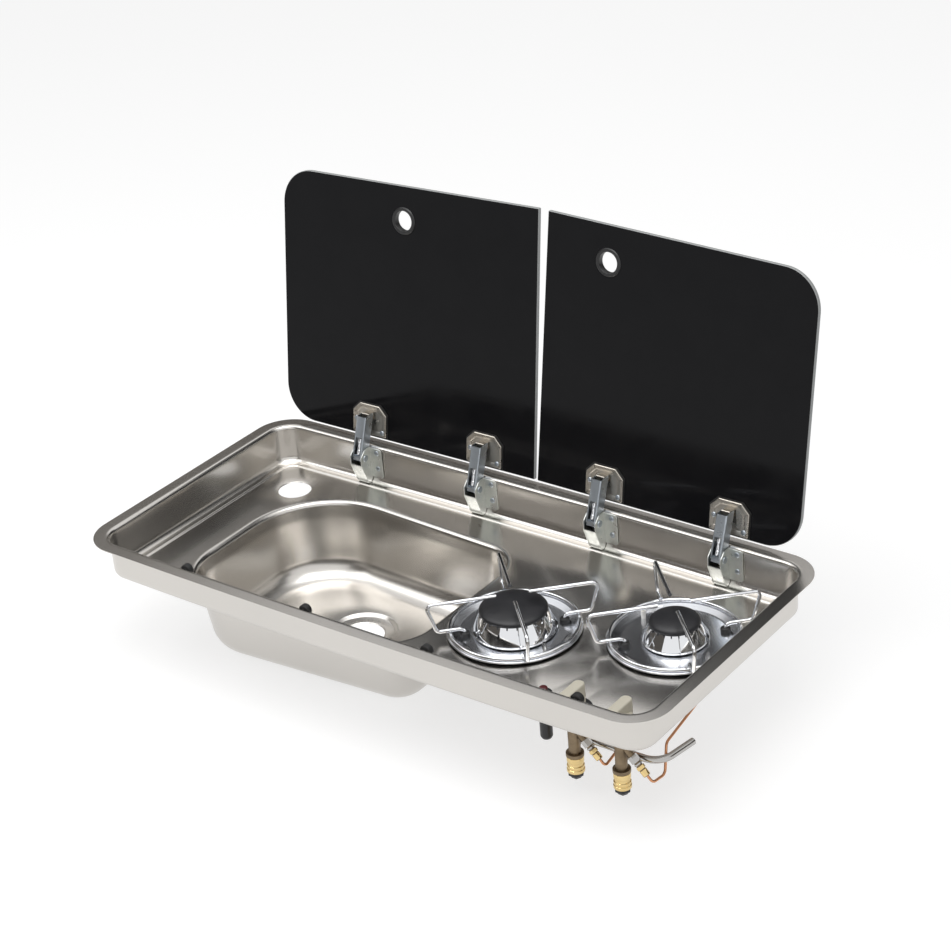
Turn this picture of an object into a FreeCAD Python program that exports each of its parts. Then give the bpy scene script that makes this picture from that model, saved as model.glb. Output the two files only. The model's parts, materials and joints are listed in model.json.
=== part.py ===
import FreeCAD
import Part
import math
import os
import re
from FreeCAD import Placement, Rotation, Vector
from types import SimpleNamespace

# Hob and sink combination for a camper worktop: a pressed steel tray with a sink bowl,
# two gas burners and two glass lids on sprung overlay hinges.
# Millimetres, +Z up. The origin is the middle of the rim plane, which is level with the
# worktop. The sink is towards -X, the burners towards +X and the hinges towards +Y.

doc = FreeCAD.newDocument("hob_sink_combo")
sheet = doc.addObject("Spreadsheet::Sheet", "Sizes")

sizes = {
    # Tray
    "tray_length": 775,
    "tray_width": 374,
    "tray_bow": 4.5,
    "tray_corner": 46,
    "tray_rim": 19,
    "tray_depth": 50,
    "tray_sheet": 1,
    "rim_roll": 5,
    "floor_round": 9,
    # Sink bowl, tap hole and drain
    "ledge_left": 73,
    "ledge_front": 30,
    "hob_length": 339,
    "bowl_width": 259,
    "bowl_front_slant": 22,
    "bowl_back_slant": 17,
    "bowl_corner": 48,
    "bowl_front_corner": 72,
    "bowl_tap_corner": 100,
    "bowl_depth": 94,
    "bowl_draft": 14,
    "bowl_round": 30,
    "bowl_sheet": 0.9,
    "bowl_lip": 9,
    "drain_hole_r": 26,
    "drain_recess_r": 40,
    "drain_recess": 4,
    "tap_from_end": 60.5,
    "tap_from_back": 64,
    "tap_hole_r": 20,
    # Lids
    "lid_thick": 5,
    "lid_gap": 3.5,
    "lid_split": 1.75,
    "lid_front_margin": 2.5,
    "lid_back_margin": 12.5,
    "lid_left_over": 3.5,
    "lid_right_short": 17,
    "lid_lift": 2.5,
    "lid_corner": 44,
    "lid_open_angle": 99,
    "lid_axis_in": 17.6,
    "lid_axis_drop": 6.9,
    "ring_r": 17,
    "ring_hole_r": 12,
    "ring_neck": 1.8,
    "ring_lip": 1.7,
    "ring_from_front": 44,
    "ring_left_x": -190,
    "ring_right_x": 87,
    # Lid hinges
    "hinge_a": -242,
    "hinge_b": -71.5,
    "hinge_c": 98.5,
    "hinge_d": 264.3,
    "plate_wide": 50,
    "plate_long": 38,
    "plate_thick": 2,
    "plate_chamfer": 10.5,
    "plate_from_edge": 3,
    "pad_thick": 1,
    "pad_margin": 1.5,
    "plate_screw_r": 1.6,
    "plate_screw_head_r": 3.1,
    "plate_screw_face_r": 1.9,
    "plate_screw_head": 1.6,
    "plate_screw_x": 19.5,
    "plate_screw_high": 17.5,
    "plate_screw_low": 5.5,
    "lug_wide": 10.8,
    "lug_long": 8,
    "lug_drop": 8.4,
    "lug_from_edge": 28,
    "lug_aim": 12,
    "arm_pivot_in": 30.5,
    "arm_pivot_drop": 12,
    "arm_wide": 14,
    "arm_half_depth": 7,
    "arm_sheet": 1.2,
    "arm_front_long": 50,
    "arm_back_long": 55,
    "arm_window_start": 1.5,
    "arm_window_long": 23,
    "arm_window_wide": 8.6,
    "barrel_r": 3.2,
    "barrel_long": 20.6,
    "barrel_gap": 0.3,
    "pin_r": 2.5,
    "pin_head_r": 4.2,
    "pin_head": 1.2,
    "pin_play": 0.05,
    "housing_sheet": 1.3,
    "housing_play": 0.4,
    "housing_seat": 0.9,
    "housing_front": 38.5,
    "housing_step": 20.8,
    "housing_foot": 47,
    "housing_foot_front": 28.5,
    "housing_foot_back": 24,
    "housing_top": 1.5,
    "tab_wide": 18,
    "tab_foot": 41,
    "rivet_r": 2,
    "rivet_head_r": 3.4,
    "rivet_head": 1.2,
    "rivet_spacing": 21,
    "rivet_from_top": 6,
    "rivet_across": 10.8,
    # Lid bumpers in the front wall
    "bumper_r": 6.8,
    "bumper_long": 9,
    "bumper_dome": 2.7,
    "bumper_neck_r": 3,
    "bumper_tail": 2,
    "bumper_gap": 0.3,
    "bumper_a": -235,
    "bumper_b": -61,
    "bumper_c": 104,
    "bumper_d": 292,
    # Burners
    "burner_gap": 11.5,
    "burner_end_gap": 15,
    "burner_mid_y": 7,
    "burner_stride": 230.5,
    "pan_r": 75,
    "pan_high": 4.2,
    "pan_sheet": 0.9,
    "pan_rim": 7,
    "pan_slope": 4.2,
    "burner_hole_r": 27,
    "burner_cup_r": 24,
    "burner_cup_drop": 31,
    "burner_cup_wall": 4,
    "burner_neck_r": 18,
    "burner_flange_r": 34,
    "burner_flange": 2.5,
    "skirt_foot": 3,
    "skirt_edge": 1,
    "skirt_left_r": 47,
    "skirt_left_high": 21.5,
    "skirt_right_r": 37,
    "skirt_right_high": 18,
    "cap_left_r": 38,
    "cap_right_r": 28,
    "cap_edge": 2.5,
    "cap_dome": 7.5,
    "cap_stem_r": 13.5,
    "cap_stem": 8,
    "part_play": 0.2,
    "jet_r": 6,
    "jet_long": 16,
    "probe_from_centre": 56,
    "probe_r": 2.6,
    "probe_tip_r": 1,
    "probe_nose_r": 1.8,
    "probe_high": 10,
    "probe_drop": 16,
    "probe_tip": 5,
    "probe_angle": -20,
    # Pan supports
    "wire_r": 2.2,
    "support_ring_r": 71,
    "support_angle": 45,
    "support_top_drop": 5,
    "support_reach": 95.5,
    "support_inner": 18,
    "support_low_reach": 85,
    "support_bend": 6,
    "grommet_from_centre": 55,
    "grommet_r": 5.4,
    "grommet_top_r": 4.6,
    "grommet_high": 4.5,
    "grommet_neck_r": 3.8,
    "grommet_bore_play": 0.3,
    "weld_bite": 0.3,
    # Controls
    "knob_from_end": 54.5,
    "knob_from_front": 45,
    "knob_spacing": 58,
    "knob_long": 40,
    "knob_wide": 13,
    "knob_corner": 3.9,
    "knob_base_r": 14.5,
    "knob_base": 5,
    "knob_top_drop": 27,
    "knob_lift": 5,
    "bezel_r": 22,
    "bezel_thick": 1.2,
    "stem_r": 4,
    "stem_hole_r": 6.5,
    "stem_drop": 67,
    "stem_play": 0.05,
    "stem_cover": 4,
    "valve_r": 6.5,
    "valve_head_r": 11,
    "valve_head": 16,
    "valve_long": 57,
    "valve_bore_spare": 8,
    "nut_r": 9.7,
    "nut_long": 20,
    "nut_waist_r": 8.7,
    "nut_groove_from": 9,
    "nut_groove": 4,
    "valve_cap_r": 9,
    "valve_cap_tip_r": 5.5,
    "valve_cap_long": 8,
    "boss_r": 5,
    "outlet_reach": 13,
    "fitting_r": 3.6,
    "fitting_long": 44.5,
    "fitting_drop": 71,
    "fitting_tilt": 45.5,
    "igniter_step_x": 41,
    "igniter_step_y": 8,
    "igniter_r": 6.8,
    "igniter_bevel": 1,
    "igniter_long": 54,
    "igniter_neck_r": 6,
    "igniter_nut_r": 9,
    "igniter_nut": 2,
    "igniter_nut_bevel": 0.5,
    "button_r": 4.6,
    "button_play": 0.08,
    "button_long": 16,
    "button_top": 8,
    "button_bevel": 1,
    "button_bore_spare": 6,
    # Gas pipes and leads
    "rail_r": 4,
    "rail_drop": 94,
    "rail_behind": 14,
    "rail_start": 12,
    "rail_bend": 22,
    "inlet_bend_in": 17,
    "inlet_end_in": 8.5,
    "inlet_back": 51,
    "feed_r": 3,
    "feed_drop": 71,
    "feed_bend": 14,
    "feed_run": 45,
    "feed_side": 42,
    "feed_ahead": 55,
    "lead_r": 1.5,
    "lead_bend": 9,
    "lead_straight": 9,
    "spark_lead_r": 1.2,
    "lead_exit": 16,
}
for row, (name, value) in enumerate(sizes.items(), start=1):
    sheet.set(f"A{row}", name)
    sheet.set(f"B{row}", str(value))
    sheet.setAlias(f"B{row}", name)
doc.recompute()
s = SimpleNamespace(**{name: float(sheet.get(name)) for name in sizes})


# Helpers for sketches and features

def cell(text):
    return re.sub(r"[a-z][a-z_]+", lambda word: "Sizes." + word.group(0), text)


def bind(thing, **links):
    for prop, text in links.items():
        thing.setExpression(prop, cell(text))


def new_body(label):
    body = doc.addObject("PartDesign::Body", label)
    body.Label = label
    return body


def new_sketch(body, name, role, geometry, height=None):
    plane = next(item for item in body.Origin.OriginFeatures if item.Role == role)
    made = body.newObject("Sketcher::SketchObject", name)
    made.AttachmentSupport = [(plane, "")]
    made.MapMode = "FlatFace"
    if height:
        made.setExpression("AttachmentOffset.Base.z", cell(height))
    made.addGeometry(geometry, False)
    return made


def pad(body, profile, length, symmetric=False, down=False):
    made = body.newObject("PartDesign::Pad", profile.Name + "_pad")
    made.Profile = profile
    made.SideType = "Symmetric" if symmetric else "One side"
    made.Reversed = down
    bind(made, Length=length)
    doc.recompute()
    return made


def pocket(body, profile, length, symmetric=False, up=False):
    made = body.newObject("PartDesign::Pocket", profile.Name + "_pocket")
    made.Profile = profile
    made.SideType = "Symmetric" if symmetric else "One side"
    made.Reversed = up
    bind(made, Length=length)
    doc.recompute()
    return made


def fillet(body, base, radius, wanted):
    names = [f"Edge{i}" for i, edge in enumerate(base.Shape.Edges, start=1) if wanted(edge)]
    made = body.newObject("PartDesign::Fillet", base.Name + "_round")
    made.Base = (base, names)
    bind(made, Radius=radius)
    doc.recompute()
    return made


def path(start, *steps):
    # Lines and arcs from point to point, closed at the end. A pair of points is an arc.
    made = []
    here = start
    for step in (*steps, start):
        if isinstance(step[0], tuple):
            via, end = step
            made.append(Part.Arc(Vector(*here, 0), Vector(*via, 0), Vector(*end, 0)))
        else:
            end = step
            if math.dist(here, end) > 1e-9:
                made.append(Part.LineSegment(Vector(*here, 0), Vector(*end, 0)))
        here = end
    return made


def rounded(corners):
    # A closed outline through (x, y, radius) corners, anticlockwise.
    points = []
    count = len(corners)
    for i, (x, y, radius) in enumerate(corners):
        here = Vector(x, y, 0)
        back = (Vector(*corners[i - 1][:2], 0) - here).normalize()
        ahead = (Vector(*corners[(i + 1) % count][:2], 0) - here).normalize()
        half = back.getAngle(ahead) / 2
        if radius <= 0:
            points.append((here, None, here))
            continue
        reach = radius / math.tan(half)
        middle = (back + ahead).normalize()
        via = here + middle * (radius / math.sin(half) - radius)
        points.append((here + back * reach, via, here + ahead * reach))
    made = []
    for i, (start, via, end) in enumerate(points):
        if via:
            made.append(Part.Arc(start, via, end))
        following = points[(i + 1) % count][0]
        if end.distanceToPoint(following) > 1e-9:
            made.append(Part.LineSegment(end, following))
    return made


def inset(corners, amount):
    made = []
    count = len(corners)
    for i, (x, y, radius) in enumerate(corners):
        here = Vector(x, y, 0)
        back = (Vector(*corners[i - 1][:2], 0) - here).normalize()
        ahead = (Vector(*corners[(i + 1) % count][:2], 0) - here).normalize()
        half = back.getAngle(ahead) / 2
        moved = here + (back + ahead).normalize() * (amount / math.sin(half))
        made.append((moved.x, moved.y, radius - amount))
    return made


def closed_wire(geometry, z):
    wire = Part.Wire([item.toShape() for item in geometry])
    wire.translate(Vector(0, 0, z))
    return wire


def circle(x, y, radius):
    return Part.Circle(Vector(x, y, 0), Vector(0, 0, 1), radius)


def turned(label, geometry, x=0, y=0):
    # A turned piece: a half section in radius and height, about an upright axis.
    body = new_body(label)
    profile = new_sketch(body, label + "_section", "XZ_Plane", geometry)
    made = body.newObject("PartDesign::Revolution", label + "_turn")
    made.Profile = profile
    made.ReferenceAxis = (profile, ["V_Axis"])
    made.Angle = 360
    body.Placement = Placement(Vector(x, y, 0), Rotation())
    doc.recompute()
    return body


def shaped(label, shape, placement=None):
    made = doc.addObject("Part::Feature", label)
    made.Label = label
    made.Shape = shape
    if placement:
        made.Placement = placement
    return made


def copies(label, form, placements):
    # Equal pieces that share one node.
    solids = [form.Shape.transformed(place.toMatrix(), True) for place in placements]
    return shaped(label, Part.makeCompound(solids))


def dome(radius, low, high):
    # The rest of a half section that ends in a round top.
    rise = high - low
    ball = (radius ** 2 + rise ** 2) / (2 * rise)
    half = math.atan2(radius, ball - rise) / 2
    return (ball * math.sin(half), high - ball * (1 - math.cos(half))), (0, high)


run_share = 0.45


def pipe(points, radius, bend):
    # Straight runs joined by tangent arcs, swept with a round section.
    corners = [Vector(*point) for point in points]
    edges = []
    here = corners[0]
    for i in range(1, len(corners) - 1):
        back = (corners[i - 1] - corners[i]).normalize()
        ahead = (corners[i + 1] - corners[i]).normalize()
        half = back.getAngle(ahead) / 2
        room = run_share * min(corners[i].distanceToPoint(corners[i - 1]),
                               corners[i].distanceToPoint(corners[i + 1]))
        turn = min(bend, room * math.tan(half))
        start = corners[i] + back * (turn / math.tan(half))
        end = corners[i] + ahead * (turn / math.tan(half))
        via = corners[i] + (back + ahead).normalize() * (turn / math.sin(half) - turn)
        edges.append(Part.LineSegment(here, start).toShape())
        edges.append(Part.Arc(start, via, end).toShape())
        here = end
    edges.append(Part.LineSegment(here, corners[-1]).toShape())
    line = Part.Wire(edges)
    section = Part.Wire(Part.Circle(corners[0], corners[1] - corners[0], radius).toShape())
    solid = line.makePipeShell([section], True, False)
    expected = math.pi * radius ** 2 * line.Length
    if abs(solid.Volume / expected - 1) > 0.01:
        raise RuntimeError(f"pipe volume {solid.Volume} is not {expected}")
    return solid


# Places worked out from the sizes

half_length = s.tray_length / 2
half_width = s.tray_width / 2
open_end = half_length - s.tray_rim
open_front = half_width - s.tray_rim
floor_top = -s.tray_depth
floor_under = floor_top - s.tray_sheet

bowl_left = s.ledge_left - open_end
bowl_right = open_end - s.hob_length
bowl_front = s.ledge_front - open_front
bowl_back = bowl_front + s.bowl_width
bowl_corners = [
    (bowl_left, bowl_front, s.bowl_front_corner),
    (bowl_right, bowl_front + s.bowl_front_slant, s.bowl_corner),
    (bowl_right, bowl_back - s.bowl_back_slant, s.bowl_corner),
    (bowl_left, bowl_back, s.bowl_tap_corner),
]
drain_x = (bowl_left + bowl_right) / 2
drain_y = (bowl_front + s.bowl_front_slant + bowl_back) / 2
tap_x = s.tap_from_end - open_end
tap_y = open_front - s.tap_from_back

# The steps along and across the tray add up to the stride, so closer burners are staggered more
burner_left_x = bowl_right + s.burner_gap + s.pan_r
burner_right_x = open_end - s.burner_end_gap - s.pan_r
burner_step_y = s.burner_stride - (burner_right_x - burner_left_x)
burner_places = {
    "left": (burner_left_x, s.burner_mid_y - burner_step_y / 2),
    "right": (burner_right_x, s.burner_mid_y + burner_step_y / 2),
}
knob_y = s.knob_from_front - open_front
knob_places = {
    "left": (open_end - s.knob_from_end - s.knob_spacing, knob_y),
    "right": (open_end - s.knob_from_end, knob_y),
}
igniter_x = knob_places["left"][0] - s.igniter_step_x
igniter_y = knob_y + s.igniter_step_y
support_angles = [s.support_angle + 90 * i for i in range(4)]
grommet_angles = support_angles[::2]
probe_angles = {"thermocouple": s.probe_angle, "spark": s.probe_angle + 180}


def around(centre, radius, angle):
    turn = math.radians(angle)
    return centre[0] + radius * math.cos(turn), centre[1] + radius * math.sin(turn)


# Tray outline: long sides bowed outwards, corners tangent to the bow and to the ends

bow_r = (half_length ** 2 + s.tray_bow ** 2) / (2 * s.tray_bow)
bow_y = half_width - bow_r
corner_x = half_length - s.tray_corner
corner_y = bow_y + math.sqrt((bow_r - s.tray_corner) ** 2 - corner_x ** 2)


def back_edge(x):
    return bow_y + math.sqrt(bow_r ** 2 - x ** 2)


def tray_outline(inward):
    end_x = half_length - inward
    radius = s.tray_corner - inward
    lean = math.atan2(corner_x, corner_y - bow_y)
    bow_point = (corner_x + radius * math.sin(lean), corner_y + radius * math.cos(lean))
    turn = (math.pi / 2 - lean) / 2
    via = (corner_x + radius * math.cos(turn), corner_y + radius * math.sin(turn))
    crown = half_width - inward

    def at(point, across, up):
        return point[0] * across, point[1] * up

    return path(
        (end_x, -corner_y),
        (end_x, corner_y),
        (via, bow_point),
        ((0, crown), at(bow_point, -1, 1)),
        (at(via, -1, 1), (-end_x, corner_y)),
        (-end_x, -corner_y),
        (at(via, -1, -1), at(bow_point, -1, -1)),
        ((0, -crown), at(bow_point, 1, -1)),
        (at(via, 1, -1), (end_x, -corner_y)),
    )


def level(z):
    return lambda edge: all(abs(vertex.Z - z) < 1e-6 for vertex in edge.Vertexes)


def level_on(z, inward):
    # Edges at one height whose ends lie on the outline at that distance from the rim.
    reach = half_length - inward

    def test(edge):
        if not level(z)(edge):
            return False
        spot = edge.valueAt((edge.FirstParameter + edge.LastParameter) / 2)
        side = abs(abs(spot.x) - reach) < 1e-3
        bow = abs(math.hypot(spot.x, abs(spot.y) - bow_y) - (bow_r - inward)) < 1e-3
        corner = math.hypot(abs(spot.x) - corner_x, abs(spot.y) - corner_y)
        return side or bow or abs(corner - (s.tray_corner - inward)) < 1e-3

    return test


# Tray

tray = new_body("tray")
rim = new_sketch(tray, "rim_outline", "XY_Plane", tray_outline(0))
pad(tray, rim, "tray_sheet", down=True)
outer_wall = s.tray_rim - s.tray_sheet
walls = new_sketch(tray, "wall_outline", "XY_Plane", tray_outline(outer_wall))
pad(tray, walls, "tray_depth + tray_sheet", down=True)
hollow = new_sketch(tray, "hollow_outline", "XY_Plane", tray_outline(s.tray_rim))
pressed = pocket(tray, hollow, "tray_depth")
pressed = fillet(tray, pressed, "floor_round", level_on(floor_top, s.tray_rim))
pressed = fillet(tray, pressed, "floor_round + tray_sheet", level_on(floor_under, outer_wall))
pressed = fillet(tray, pressed, "rim_roll - tray_sheet", level_on(-s.tray_sheet, outer_wall))
pressed = fillet(tray, pressed, "rim_roll", level_on(0, s.tray_rim))

floor_holes = rounded(bowl_corners)
floor_holes.append(circle(tap_x, tap_y, s.tap_hole_r))
floor_holes.append(circle(igniter_x, igniter_y, s.igniter_neck_r + s.part_play))
for side in ("left", "right"):
    floor_holes.append(circle(*burner_places[side], s.burner_hole_r))
    floor_holes.append(circle(*knob_places[side], s.stem_hole_r))
    for angle in probe_angles.values():
        place = around(burner_places[side], s.probe_from_centre, angle)
        floor_holes.append(circle(*place, s.probe_r + s.part_play))
holes = new_sketch(tray, "floor_holes", "XY_Plane", floor_holes)
pocket(tray, holes, "tray_depth + tray_sheet * 2")

bumper_z = s.lid_lift - s.bumper_gap - s.bumper_r
bumper_xs = (s.bumper_a, s.bumper_b, s.bumper_c, s.bumper_d)


def front_wall(x):
    return s.tray_rim - back_edge(x)


for i, x in enumerate(bumper_xs):
    bore = tray.newObject("PartDesign::SubtractiveCylinder", f"bumper_hole_{i}")
    bind(bore, Radius="bumper_neck_r + stem_play", Height="rim_roll * 4")
    bore.Placement = Placement(Vector(x, front_wall(x) + s.rim_roll, bumper_z),
                               Rotation(Vector(1, 0, 0), 90))
doc.recompute()


# Sink bowl: a drawn tub with a lip welded under the floor of the tray

def drafted_tub(corners, top, bottom, draft, radius):
    upper = closed_wire(rounded(corners), top)
    lower = closed_wire(rounded(inset(corners, draft)), bottom)
    tub = Part.makeLoft([upper, lower], True, True)
    return tub.makeFillet(radius, [edge for edge in tub.Edges if level(bottom)(edge)])


def upright(x, y, low, high, radius):
    return Part.makeCylinder(radius, high - low, Vector(x, y, low))


bowl_floor = floor_under - s.bowl_depth
bowl_inside = drafted_tub(bowl_corners, floor_under, bowl_floor, s.bowl_draft, s.bowl_round)
outer_corners = inset(bowl_corners, -s.bowl_sheet)
bowl_outside = drafted_tub(outer_corners, floor_under, bowl_floor - s.bowl_sheet, s.bowl_draft,
                           s.bowl_round + s.bowl_sheet)
lip_face = Part.Face(closed_wire(rounded(inset(bowl_corners, -s.bowl_lip)), floor_under))
lip = lip_face.extrude(Vector(0, 0, -s.bowl_sheet))
recess_floor = bowl_floor - s.drain_recess
sump_under = recess_floor - s.bowl_sheet
sump = upright(drain_x, drain_y, sump_under, bowl_floor, s.drain_recess_r + s.bowl_sheet)
sump_inside = upright(drain_x, drain_y, recess_floor, bowl_floor + s.bowl_sheet, s.drain_recess_r)
drain = upright(drain_x, drain_y, sump_under - s.bowl_sheet, bowl_floor, s.drain_hole_r)
bowl = bowl_outside.fuse([lip, sump]).cut([bowl_inside, sump_inside, drain])
shaped("sink_bowl", bowl.removeSplitter())


# Lids, drawn closed and then swung open about their hinge lines

bow_slope = 2 * s.tray_bow / s.tray_length
lid_sides = {
    "left": {
        "x": -s.tray_length / 4,
        "turn": bow_slope,
        "hinges": (s.hinge_a, s.hinge_b),
        "ring": s.ring_left_x,
        "inner": s.lid_split - s.lid_gap / 2,
        "outer": -open_end - s.lid_left_over,
    },
    "right": {
        "x": s.tray_length / 4,
        "turn": -bow_slope,
        "hinges": (s.hinge_c, s.hinge_d),
        "ring": s.ring_right_x,
        "inner": s.lid_split + s.lid_gap / 2,
        "outer": open_end - s.lid_right_short,
    },
}
lid_swing = Placement(Vector(), Rotation(Vector(1, 0, 0), -s.lid_open_angle),
                      Vector(0, -s.lid_axis_in, -s.lid_axis_drop))
lid_under = s.lid_lift
lid_top = lid_under + s.lid_thick
ring_neck_r = s.ring_hole_r + s.ring_neck


def side_place(side):
    # The hinge line's own frame: along the lid, back from the rim's edge, and up.
    x = lid_sides[side]["x"]
    spin = Rotation(Vector(0, 0, 1), math.degrees(math.atan(lid_sides[side]["turn"])))
    return Placement(Vector(x, back_edge(x), 0), spin)


def opened(side):
    frame = side_place(side)
    return frame.multiply(lid_swing).multiply(frame.inverse())


def on_side(side, x):
    # How far along the hinge line a place at x is.
    return (x - lid_sides[side]["x"]) / math.cos(math.atan(lid_sides[side]["turn"]))


def lid_corners(side):
    middle = lid_sides[side]["x"]
    slope = lid_sides[side]["turn"]
    inner = lid_sides[side]["inner"]
    outer = lid_sides[side]["outer"]
    wall = back_edge(middle) - s.tray_rim

    def front(x):
        return s.lid_front_margin - wall - slope * (x - middle)

    def back(x):
        return wall - s.lid_back_margin + slope * (x - middle)

    made = [
        (inner, front(inner), 0),
        (outer, front(outer), s.lid_corner),
        (outer, back(outer), s.lid_corner),
        (inner, back(inner), 0),
    ]
    return made if outer > inner else made[::-1]


for side in lid_sides:
    ring_x = lid_sides[side]["ring"]
    ring_y = s.ring_from_front - back_edge(lid_sides[side]["x"]) + s.tray_rim
    glass = new_body("lid_glass_" + side)
    outline = rounded(lid_corners(side))
    outline.append(circle(ring_x, ring_y, ring_neck_r + s.part_play))
    plan = new_sketch(glass, "lid_plan_" + side, "XY_Plane", outline, "lid_lift")
    pad(glass, plan, "lid_thick")
    glass.Placement = opened(side)
    ring = turned("lid_ring_" + side, path(
        (s.ring_hole_r, lid_under - s.ring_lip),
        (s.ring_r - s.ring_lip, lid_under - s.ring_lip),
        (s.ring_r, lid_under),
        (ring_neck_r, lid_under),
        (ring_neck_r, lid_top),
        (s.ring_r, lid_top),
        (s.ring_r - s.ring_lip, lid_top + s.ring_lip),
        (s.ring_hole_r, lid_top + s.ring_lip),
    ))
    ring.Placement = opened(side).multiply(Placement(Vector(ring_x, ring_y, 0), Rotation()))


# Hinge pieces, drawn once in the hinge line's frame at its start

lid_back = -s.tray_rim - s.lid_back_margin
plate_back = lid_back - s.plate_from_edge
plate_front = plate_back - s.plate_long
plate_top = lid_under - s.pad_thick
plate_under = plate_top - s.plate_thick
half_plate = s.plate_wide / 2


def plate_outline(grow):
    wide = half_plate + grow
    front = plate_front - grow
    back = plate_back + grow
    cut = s.plate_chamfer
    return path((-wide, back), (-wide, front + cut), (-wide + cut, front),
                (wide - cut, front), (wide, front + cut), (wide, back))


screw_spots = (
    (-s.plate_screw_x, plate_back - s.plate_screw_high),
    (s.plate_screw_x, plate_back - s.plate_screw_low),
)
screw_holes = [circle(*spot, s.plate_screw_r + s.part_play) for spot in screw_spots]

pad_form = new_body("hinge_pad_form")
pad_outline = plate_outline(s.pad_margin) + screw_holes
pad_plan = new_sketch(pad_form, "pad_plan", "XY_Plane", pad_outline, "lid_lift - pad_thick")
pad(pad_form, pad_plan, "pad_thick")

plate_form = new_body("hinge_plate_form")
plate_plan = new_sketch(plate_form, "plate_plan", "XY_Plane", plate_outline(0) + screw_holes,
                        "lid_lift - pad_thick - plate_thick")
pad(plate_form, plate_plan, "plate_thick")
lug_y = lid_back - s.lug_from_edge
lug_block = plate_form.newObject("PartDesign::AdditiveBox", "lug_block")
bind(lug_block, Length="lug_wide", Width="lug_long", Height="lug_drop")
lug_block.Placement = Placement(
    Vector(-s.lug_wide / 2, lug_y - s.lug_long / 2, plate_under - s.lug_drop), Rotation())

screw_form = turned("hinge_screw_form", path(
    (0, plate_under - s.plate_screw_head),
    (s.plate_screw_face_r, plate_under - s.plate_screw_head),
    (s.plate_screw_head_r, plate_under),
    (s.plate_screw_r, plate_under),
    (s.plate_screw_r, lid_under),
    (0, lid_under),
))

# The arm lies along +Y from its pivot, with its web upwards.
arm_form = new_body("hinge_arm_form")
depth = s.arm_half_depth
cheek = new_sketch(arm_form, "arm_cheek", "YZ_Plane", path(
    (0, -depth), (s.arm_back_long, -depth), (s.arm_front_long, depth), (0, depth),
    ((-depth, 0), (0, -depth))))
pad(arm_form, cheek, "arm_wide", symmetric=True)
web_under = depth - s.arm_sheet
beyond = s.arm_front_long + depth
web_start = s.arm_window_start - depth
channel = new_sketch(arm_form, "arm_channel", "YZ_Plane", path(
    (-beyond, -beyond), (beyond, -beyond), (beyond, web_under), (web_start, web_under),
    (web_start, beyond), (-beyond, beyond)))
pocket(arm_form, channel, "arm_wide - arm_sheet * 2", symmetric=True)
half_window = s.arm_window_wide / 2
window_end = s.arm_window_start + s.arm_window_long
window = new_sketch(arm_form, "arm_window", "XY_Plane", path(
    (-half_window, s.arm_window_start), (half_window, s.arm_window_start),
    (half_window, window_end), (-half_window, window_end)))
pocket(arm_form, window, "arm_half_depth * 2", up=True)
arm_bore = arm_form.newObject("PartDesign::SubtractiveCylinder", "arm_bore")
bind(arm_bore, Radius="pin_r + pin_play", Height="arm_wide * 2")
arm_bore.Placement = Placement(Vector(-s.arm_wide, 0, 0), Rotation(Vector(0, 1, 0), 90))

barrel_start = s.arm_window_start + (s.arm_window_long - s.barrel_long) / 2
barrel_form = doc.addObject("Part::Cylinder", "hinge_barrel_form")
bind(barrel_form, Radius="barrel_r", Height="barrel_long")
barrel_z = web_under - s.barrel_gap - s.barrel_r
barrel_form.Placement = Placement(Vector(0, barrel_start, barrel_z), Rotation(Vector(1, 0, 0), -90))

# The housing stands on the back wall and carries the pivot pin between its cheeks.
wall_y = -s.tray_rim - s.housing_seat
pivot = Vector(0, -s.arm_pivot_in, -s.arm_pivot_drop)
housing_inner = s.arm_wide + 2 * s.housing_play
housing_form = new_body("hinge_housing_form")
slope_top = s.housing_front - s.arm_pivot_in
housing_cheek = new_sketch(housing_form, "housing_cheek", "YZ_Plane", path(
    (wall_y, -s.housing_top), (-s.arm_pivot_in, -s.housing_top),
    (-s.housing_front, -s.housing_top - slope_top), (-s.housing_front, -s.housing_step),
    (-s.housing_foot_front, -s.housing_foot), (-s.housing_foot_back, -s.housing_foot),
    (wall_y, -s.tab_foot)))
pad(housing_form, housing_cheek, "arm_wide + housing_play * 2 + housing_sheet * 2", symmetric=True)
web_fall = s.housing_foot - s.housing_step
web_across = s.housing_sheet * math.hypot(s.housing_front - s.housing_foot_front, web_fall) / web_fall
web_back = web_across - s.housing_front
foot_back = web_across - s.housing_foot_front
ledge = s.housing_sheet - s.housing_step
housing_hollow = new_sketch(housing_form, "housing_hollow", "YZ_Plane", path(
    (0, s.tray_rim), (-2 * s.housing_front, s.tray_rim), (-2 * s.housing_front, ledge), (web_back, ledge),
    (web_back, -s.housing_step), (foot_back, -s.housing_foot), (foot_back, -2 * s.housing_foot),
    (0, -2 * s.housing_foot)))
pocket(housing_form, housing_hollow, "arm_wide + housing_play * 2", symmetric=True)
tab = housing_form.newObject("PartDesign::AdditiveBox", "housing_tab")
bind(tab, Length="tab_wide", Width="housing_sheet", Height="tab_foot - housing_top")
tab_x = housing_inner / 2 + s.housing_sheet / 2
tab.Placement = Placement(Vector(tab_x, wall_y - s.housing_sheet, -s.tab_foot), Rotation())
housing_bore = housing_form.newObject("PartDesign::SubtractiveCylinder", "housing_bore")
bind(housing_bore, Radius="pin_r + pin_play", Height="arm_wide * 4")
housing_bore.Placement = Placement(pivot - Vector(2 * s.arm_wide, 0, 0), Rotation(Vector(0, 1, 0), 90))
rivet_x = tab_x + s.rivet_across
rivet_zs = [-s.housing_top - s.rivet_from_top - i * s.rivet_spacing for i in range(2)]
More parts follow.
